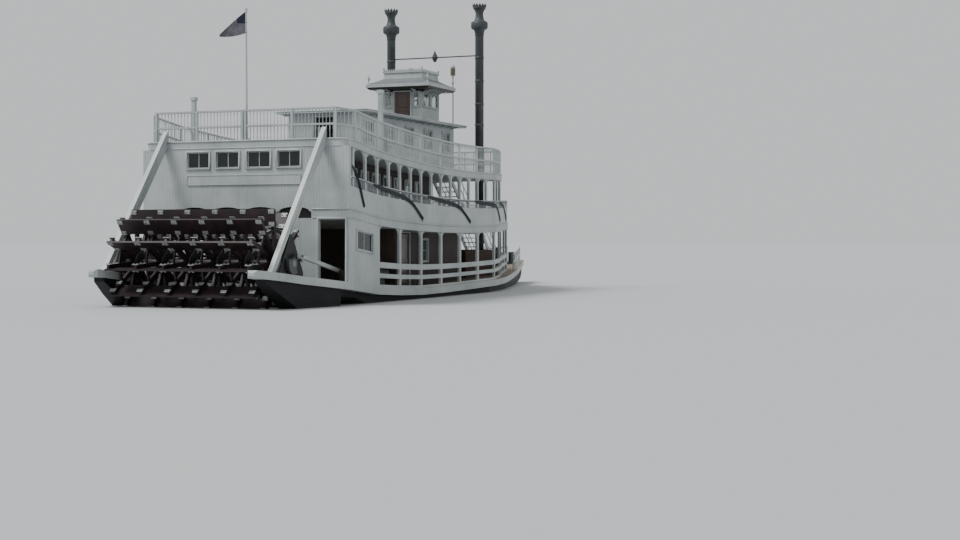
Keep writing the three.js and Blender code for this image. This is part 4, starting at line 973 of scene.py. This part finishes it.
def addNameBoard():
    face, back, half, foot, head, bead = nameBoard.values()
    stamp("nameBoard", pattern(box(face, back, -half, half, foot, head)), [((0, 0, 0),)])
    edge = [Vector((face, y, z)) for y, z in ((-half, foot), (half, foot), (half, head), (-half, head))]
    framed("nameBoardBead", [edge], bead)


# foredeck and pilothouse fittings

capstan = {
    "x": 12.3,
    "profile": [(0, 0.001), (0.33, 0.001), (0.33, 0.1), (0.3, 0.13), (0.27, 0.15), (0.26, 0.22), (0.2, 0.27),
                (0.155, 0.34), (0.14, 0.46), (0.145, 0.58), (0.17, 0.66), (0.22, 0.71), (0.23, 0.74),
                (0.23, 0.83), (0.21, 0.86), (0, 0.86)],
    "whelps": 6,
    "whelp": (0.12, 0.19, -0.025, 0.025, 0.27, 0.66),
    "socket": (0.2, 0.236, -0.03, 0.03, 0.755, 0.815),
}


def addCapstan():
    foot = (capstan["x"], 0, risen(capstan["x"], floors["main"]))
    drum = stamp("capstanDrum.001", turned(capstan["profile"], 36), [(foot,)], blackIron)
    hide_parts("capstan")
    around = [(foot, (0, 0, angle)) for angle in turns(capstan["whelps"])]
    stamp("capstanWhelps", pattern(box(*capstan["whelp"])), around, blackIron)
    stamp("capstanSockets", pattern(box(*capstan["socket"])), around, blackIron)


shipsWheel = {
    "middle": (2.9, 0.0, 8.25),
    "rim": (0.43, 0.028, 48, 10),
    "spokes": 8,
    "spoke": [(0, 0.05), (0.016, 0.05), (0.016, 0.13), (0.024, 0.17), (0.013, 0.25), (0.017, 0.39),
              (0.017, 0.46), (0.011, 0.468), (0.017, 0.485), (0.013, 0.513), (0, 0.52)],
    "hub": [(0, -0.058), (0.055, -0.058), (0.075, -0.04), (0.082, -0.02), (0.082, 0.02), (0.075, 0.04),
            (0.055, 0.058), (0, 0.058)],
}


def addShipsWheel():
    facingAft = [(shipsWheel["middle"], (0, pi / 2, 0))]
    rim = stamp("shipsWheelRim", hoop(*shipsWheel["rim"]), facingAft, redWood, "steering_wheel")
    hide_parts("ships_wheel")
    around = [(shipsWheel["middle"], (angle, 0, 0)) for angle in turns(shipsWheel["spokes"])]
    stamp("shipsWheelSpokes", turned(shipsWheel["spoke"], 10), around, redWood, "steering_wheel")
    stamp("shipsWheelHub", turned(shipsWheel["hub"], 24), facingAft, castBrass, "steering_wheel")


furnace = {
    "face": 5.9602,
    "middles": (-1.8, -0.6, 0.6, 1.8),
    "boxes": [  # outer plate, raised panel, two hinge straps, latch
        (0, 0.018, -0.3, 0.3, 1.47, 1.93), (0.017, 0.034, -0.22, 0.2, 1.53, 1.87),
        (0.03, 0.05, -0.26, -0.16, 1.59, 1.63), (0.03, 0.05, -0.26, -0.16, 1.77, 1.81),
        (0.033, 0.06, 0.12, 0.24, 1.685, 1.715)],
}


def addFurnaceDoors():
    door = pattern(*[box(*corners) for corners in furnace["boxes"]])
    stamp("furnaceDoors", door, [((furnace["face"], y, 0),) for y in furnace["middles"]], blackIron)


# roof trim: sawn cresting round the pilothouse's upper tier, brackets and rafters under the eaves

roofTrim = {
    "x": 2.3,
    "crestHalf": 0.87,
    "crestFoot": 9.77,
    "crestGap": 0.087,
    "picket": ([(-0.032, -0.004), (0.032, -0.004), (0.032, 0.03), (0.014, 0.05), (0.024, 0.075),
                (0.0, 0.115), (-0.024, 0.075), (-0.014, 0.05), (-0.032, 0.03)], 0.014),  # and thickness
    "finial": [(0, -0.01), (0.038, -0.01), (0.038, 0.02), (0.02, 0.04), (0.02, 0.07), (0.042, 0.11),
               (0.036, 0.15), (0.01, 0.19), (0, 0.2)],
    "eaveFoot": 9.001,
    "wallHalf": 0.89,
    "bracket": ([(-0.01, 0.0), (0.42, 0.0), (0.42, -0.035), (0.3, -0.05), (0.16, -0.1), (0.06, -0.2),
                 (-0.01, -0.24)], 0.04),
    "bracketGap": 0.297,
    "bracketsAWall": 5,
    "doorClear": 0.4,  # no brackets within this of the middle aft, where the door swings
    "rafter": ([(-0.01, 0.0), (0.36, 0.0), (0.36, -0.03), (0.3, -0.06), (0.05, -0.075), (-0.01, -0.075)],
               0.045),
    "rafterGap": 0.6,
    "rafterFrom": -5.4,
    "rafters": 15,
    "rafterPlace": (1.5, 7.5005),  # on the cabin's side wall, under its roof
}


def addRoofTrim():
    x, half, foot = roofTrim["x"], roofTrim["crestHalf"], roofTrim["crestFoot"]
    corners = [Vector((x + a * half, b * half, foot)) for a, b in ((-1, -1), (1, -1), (1, 1), (-1, 1))]
    edges = [[corners[i], corners[(i + 1) % 4]] for i in range(4)]
    grown("roofCresting", lineMesh(edges), spaced, {
        "Spacing": roofTrim["crestGap"], "Part": slab(*roofTrim["picket"])})
    stamp("roofFinials", turned(roofTrim["finial"]), [(corner,) for corner in corners])

    wall, places = roofTrim["wallHalf"], []
    for turn in turns(4):
        ahead, left = cos(turn), sin(turn)
        for i in range(roofTrim["bracketsAWall"]):
            off = -wall + roofTrim["bracketGap"] * (i + 1)
            if turn != pi or abs(off) > roofTrim["doorClear"]:
                spot = (x + wall * ahead - off * left, wall * left + off * ahead, roofTrim["eaveFoot"])
                places.append((spot, (0, 0, turn)))
    stamp("eaveBrackets", slab(*roofTrim["bracket"]), places)

    y, z = roofTrim["rafterPlace"]
    stamp("rafterEnds", slab(*roofTrim["rafter"]), [
        ((roofTrim["rafterFrom"] + roofTrim["rafterGap"] * i, side * y, z), (0, 0, side * pi / 2))
        for _, side in sides for i in range(roofTrim["rafters"])])


# signal lantern: ribbed glass and a guard of thin rods round the CAD lantern

lantern = {
    "place": (5.36, -0.62, 9.9),
    "glassEnds": ((0.094, 0.07), (0.097, 0.335), (0.094, 0.336)),
    "ribs": [((0.097, 0.075 + 0.026 * i), (0.104, 0.088 + 0.026 * i)) for i in range(10)],
    "guard": [(0.085, 0.02), (0.112, 0.05), (0.112, 0.345), (0.1, 0.372)],
    "bars": 8,
    "barRadius": 0.006,
    "hoop": (0.112, 0.007, 24, 6),
    "hoops": (0.05, 0.2, 0.345),
}


def addLantern():
    x, y, foot = lantern["place"]
    low, *high = lantern["glassEnds"]
    lens = turned([low, *[p for rib in lantern["ribs"] for p in rib], *high], 24)
    stamp("lanternLens.001", lens, [((x, y, foot),)], sheetGlass)
    guards = [[polar((x, y), r, angle, foot + z) for r, z in lantern["guard"]]
              for angle in turns(lantern["bars"])]
    rodded("lanternGuard", guards, lantern["barRadius"], 6, castBrass)
    stamp("lanternHoops", hoop(*lantern["hoop"]), [((x, y, foot + z),) for z in lantern["hoops"]], castBrass)


# handrails of the two open stairs

stairRails = {
    # foot and top in X and Z, half the width between the rails
    "foredeckStair": ((10.9, risen(10.9, floors["main"])), (8.6, risen(8.6, floors["promenade"])), 0.55),
    "texasStair": ((7.95, risen(7.95, floors["promenade"])), (5.55, risen(5.55, floors["texas"])), 0.43),
}
handrail = {
    "radius": 0.021,
    "post": 0.016,
    "sides": 10,
    "height": 0.88,
    "kneeDrop": 0.42,
    "posts": (0.1, 0.38, 0.66, 0.94),  # shares of the way up
    "belowTread": 0.04,
    "sunk": 0.06,
    "overhang": Vector((0.12, 0, -0.1)),
}


def addHandrails():
    for name, (foot, top, half) in stairRails.items():
        lines, posts = [], []
        for _, side in sides:
            feet = [Vector((between(foot[0], top[0], t), side * half,
                            between(foot[1], top[1], t) - handrail["belowTread"])) for t in handrail["posts"]]
            hand, knee, sunk = [Vector((0, 0, z)) for z in (
                handrail["height"], handrail["height"] - handrail["kneeDrop"], -handrail["sunk"])]
            lines.append([feet[0] + hand + handrail["overhang"], feet[0] + hand, feet[-1] + hand])
            lines.append([feet[0] + knee, feet[-1] + knee])
            posts += [[p + sunk, p + hand] for p in feet]
        rodded(name + "Rails", lines, handrail["radius"], handrail["sides"])
        rodded(name + "Posts", posts, handrail["post"], handrail["sides"])


# cloth: a limp ensign, and bunting gathered along both rails

ensign = {
    "hoist": 0.74,
    "fly": 1.2,
    "staffX": -11.26,
    "heading": radians(120),  # the way the breeze lays it, from straight ahead to port
    "offStaff": 0.028,
    "hoistEnds": (9.79, 10.53),  # heights, low and high
    "flyEnds": ((0.86, 9.65), (0.88, 9.715)),  # off the hoist and height, low and high
    "steps": (80, 84),
    "sag": (0.05, 0.02),  # of the lower edge, and rise of the upper
    "folds": 7,
    "foldDepth": 0.0195,
    "foldGrowth": 2.2,  # full depth within the fly's first half
    "slant": (1.6, 0.5, 4.0),  # of the folds along the fly: even part, waver and its pace
    "thickness": 0.003,
    "ring": (0.037, 0.005, 20, 6),
    "ringInset": 0.03,
}

bunting = {
    # the CAD strips' own lines: knots along X, and each strip's middle over the rail by share of the way
    "knots": [-11.2, -9.6, -4.975, -0.35, 4.275, 8.4],
    "railTop": 4.32,
    "firstDrop": [(0, 0.3), (0.28, -0.1), (0.56, -0.85)],
    "drop": [(0, -0.05), (0.25, -0.13), (0.5, -0.21), (0.66, -0.34), (0.78, -0.58), (0.9, -0.9)],
    "lineDrop": -0.05,
    "lineRadius": 0.011,
    "inset": 0.0155,  # of the middle of the cloth from the outer edge
    "step": 0.045,
    "curveSteps": 14,
    "high": (0.07, 0.15),  # at the knot, and where it hangs free
    "opensOver": 0.5,
    "swell": (0.06, 2.9),  # of the height along the strip, and its pace
    "leans": ((0.9, 1.7, 2), (0.5, 4.3, 1)),  # of the folds: size, pace, part of the seed
    "folds": 4,
    "foldDepth": 0.012,
    "cut": 0.26,  # width of the cloth before it was gathered
    "thickness": 0.003,
    "tiedFor": 1.2,  # metres from each knot
    "tieGap": 0.4,
    "tieFrom": 0.03,
    "tieDrop": 0.008,
    "tie": [(0, -0.012), (0.022, -0.012), (0.027, -0.005), (0.027, 0.005), (0.022, 0.012), (0, 0.012)],
    "tieGrowth": (1.3, 0.55, 1),
}


def clothObject(name, grids, thickness, finish):
    # grids of points, each made a closed sheet
    points, faces = [], []
    for grid in grids:
        first, columns = len(points), len(grid[0])
        points += [p for row in grid for p in row]
        faces += [(n, n + columns, n + columns + 1, n + 1) for i in range(len(grid) - 1)
                  for n in range(first + i * columns, first + (i + 1) * columns - 1)]
    mesh = newMesh("cloth", points, [], faces)
    mesh.shade_smooth()
    return thickened(name, mesh, thickness, 0.0, finish)


def addEnsign():
    # the fly hangs in slanting folds that run from the upper hoist to the low corner
    (lowZ, topZ), (flyLow, flyHigh) = ensign["hoistEnds"], ensign["flyEnds"]
    along = Vector((cos(ensign["heading"]), sin(ensign["heading"]), 0))
    across = Vector((-along.y, along.x, 0))
    root = Vector((ensign["staffX"], 0, 0)) + along * ensign["offStaff"]
    steps, rows = ensign["steps"]
    (lowSag, topRise), (slant, waver, pace) = ensign["sag"], ensign["slant"]
    grid = []
    for u in [i / steps for i in range(steps + 1)]:
        bow = sin(pi * u)
        grid.append([])
        for v in [k / rows for k in range(rows + 1)]:  # from the lower to the upper edge
            flyS, flyZ = [between(low, high, v) for low, high in zip(flyLow, flyHigh)]
            z = between(between(lowZ, topZ, v), flyZ, u) - lowSag * bow * (1 - v) + topRise * bow * v
            swing = 2 * pi * ensign["folds"] * v + slant * u + waver * sin(pace * u)
            depth = ensign["foldDepth"] * min(1.0, u * ensign["foldGrowth"]) * sin(swing)
            grid[-1].append(root + along * (flyS * u) + across * depth + Vector((0, 0, z)))
    cloth = clothObject("ensignCloth", [grid], ensign["thickness"], flagCotton)
    inset = ensign["ringInset"]
    places = [((ensign["staffX"], 0, z),) for z in (topZ - inset, (topZ + lowZ) / 2, lowZ + inset)]
    rings = stamp("flagRings", hoop(*ensign["ring"]), places, castBrass)
    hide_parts("ensign")


def smoothed(points, steps):
    # rounded line through given points
    line, padded = [], [points[0], *points, points[-1]]
    for around in zip(padded, padded[1:], padded[2:], padded[3:]):
        for t in [k / steps for k in range(steps)]:
            line.append(tuple(0.5 * (2 * b + (c - a) * t + (2 * a - 5 * b + 4 * c - d) * t * t
                                     + (3 * b - a - 3 * c + d) * t ** 3) for a, b, c, d in zip(*around)))
    return line + [points[-1]]


def evenly(line, step):
    # the same line with even steps, and its length
    lengths = [0.0]
    for a, b in zip(line, line[1:]):
        lengths.append(lengths[-1] + dist(a, b))
    count = int(lengths[-1] / step)
    even, j = [], 0
    for i in range(count + 1):
        want = lengths[-1] * i / count
        while j < len(line) - 2 and lengths[j + 1] < want:
            j += 1
        share = (want - lengths[j]) / (lengths[j + 1] - lengths[j])
        even.append(tuple(between(a, b, share) for a, b in zip(line[j], line[j + 1])))
    return even, lengths[-1]


def festoonLine(i):
    # middle line of one strip, from its knot forward to the free end
    start, end = bunting["knots"][i:i + 2]
    drops = [(between(start, end, share), drop) for share, drop in bunting["drop" if i else "firstDrop"]]
    rows = [(x, risen(x, bunting["railTop"] + drop)) for x, drop in drops]
    return evenly(smoothed(rows, bunting["curveSteps"]), bunting["step"])


def festoonGrid(side, line, seed):
    grid, columns = [], 8 * bunting["folds"]
    swell, pace = bunting["swell"]
    for i, (x, z) in enumerate(line):
        at = i * bunting["step"]
        before, after = line[max(i - 1, 0)], line[min(i + 1, len(line) - 1)]
        along = Vector((after[0] - before[0], after[1] - before[1])).normalized()
        spread = min(1.0, at / bunting["opensOver"])
        tall = between(*bunting["high"], spread * spread * (3 - 2 * spread))
        tall *= 1 + swell * sin(pace * at + seed)
        lean = sum(size * sin(rate * at + part * seed) for size, rate, part in bunting["leans"])
        grid.append([])
        for v in [2 * k / columns - 1 for k in range(columns + 1)]:
            depth = bunting["foldDepth"] * sin(pi * bunting["folds"] * v + lean)
            up, out = v * tall / 2, houseHalf(x) - bunting["inset"] + depth
            grid[-1].append((x - along[1] * up, side * out, z + along[0] * up))
    return grid


def addBunting():
    knots, inset = bunting["knots"], bunting["inset"]
    lineZ = bunting["railTop"] + bunting["lineDrop"]
    tie = turned(bunting["tie"])
    for name, side in sides:
        grids, length, ties = [], 0.0, []
        for i, knot in enumerate(knots[:-1]):
            line, reach = festoonLine(i)
            length += reach
            grids.append(festoonGrid(side, line, 1.3 * i + side))
            for n in range(int(bunting["tiedFor"] / bunting["tieGap"]) + 1 if i else 0):
                x = knot + bunting["tieFrom"] + n * bunting["tieGap"]
                ties.append(((x, side * (houseHalf(x) - inset), risen(x, lineZ) - bunting["tieDrop"]),
                             (0, pi / 2, 0), bunting["tieGrowth"]))
        cloth = clothObject(f"buntingCloth_{name}", grids, bunting["thickness"], navyCotton)
        bound = stamp(f"buntingTies_{name}", tie, ties, navyCotton)
        stretched = sideLine(side, knots[0], knots[-1], inset, lineZ)
        cord = rodded(f"buntingLine_{name}", [stretched], bunting["lineRadius"], 8, navyCotton)
        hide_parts(f"bunting_{name}")


for stage in (addViewpoint, addFloor, addLight, dressNodes, addSpindles, addWindows, addBeads, addBrackets,
              addDoors, addStacks, addWheelIrons, addNameBoard, addCapstan, addShipsWheel, addFurnaceDoors,
              addRoofTrim, addLantern, addHandrails, addEnsign, addBunting):
    stage()
    print(stage.__name__, "done")

for part in patterns:
    bpy.data.objects.remove(part)
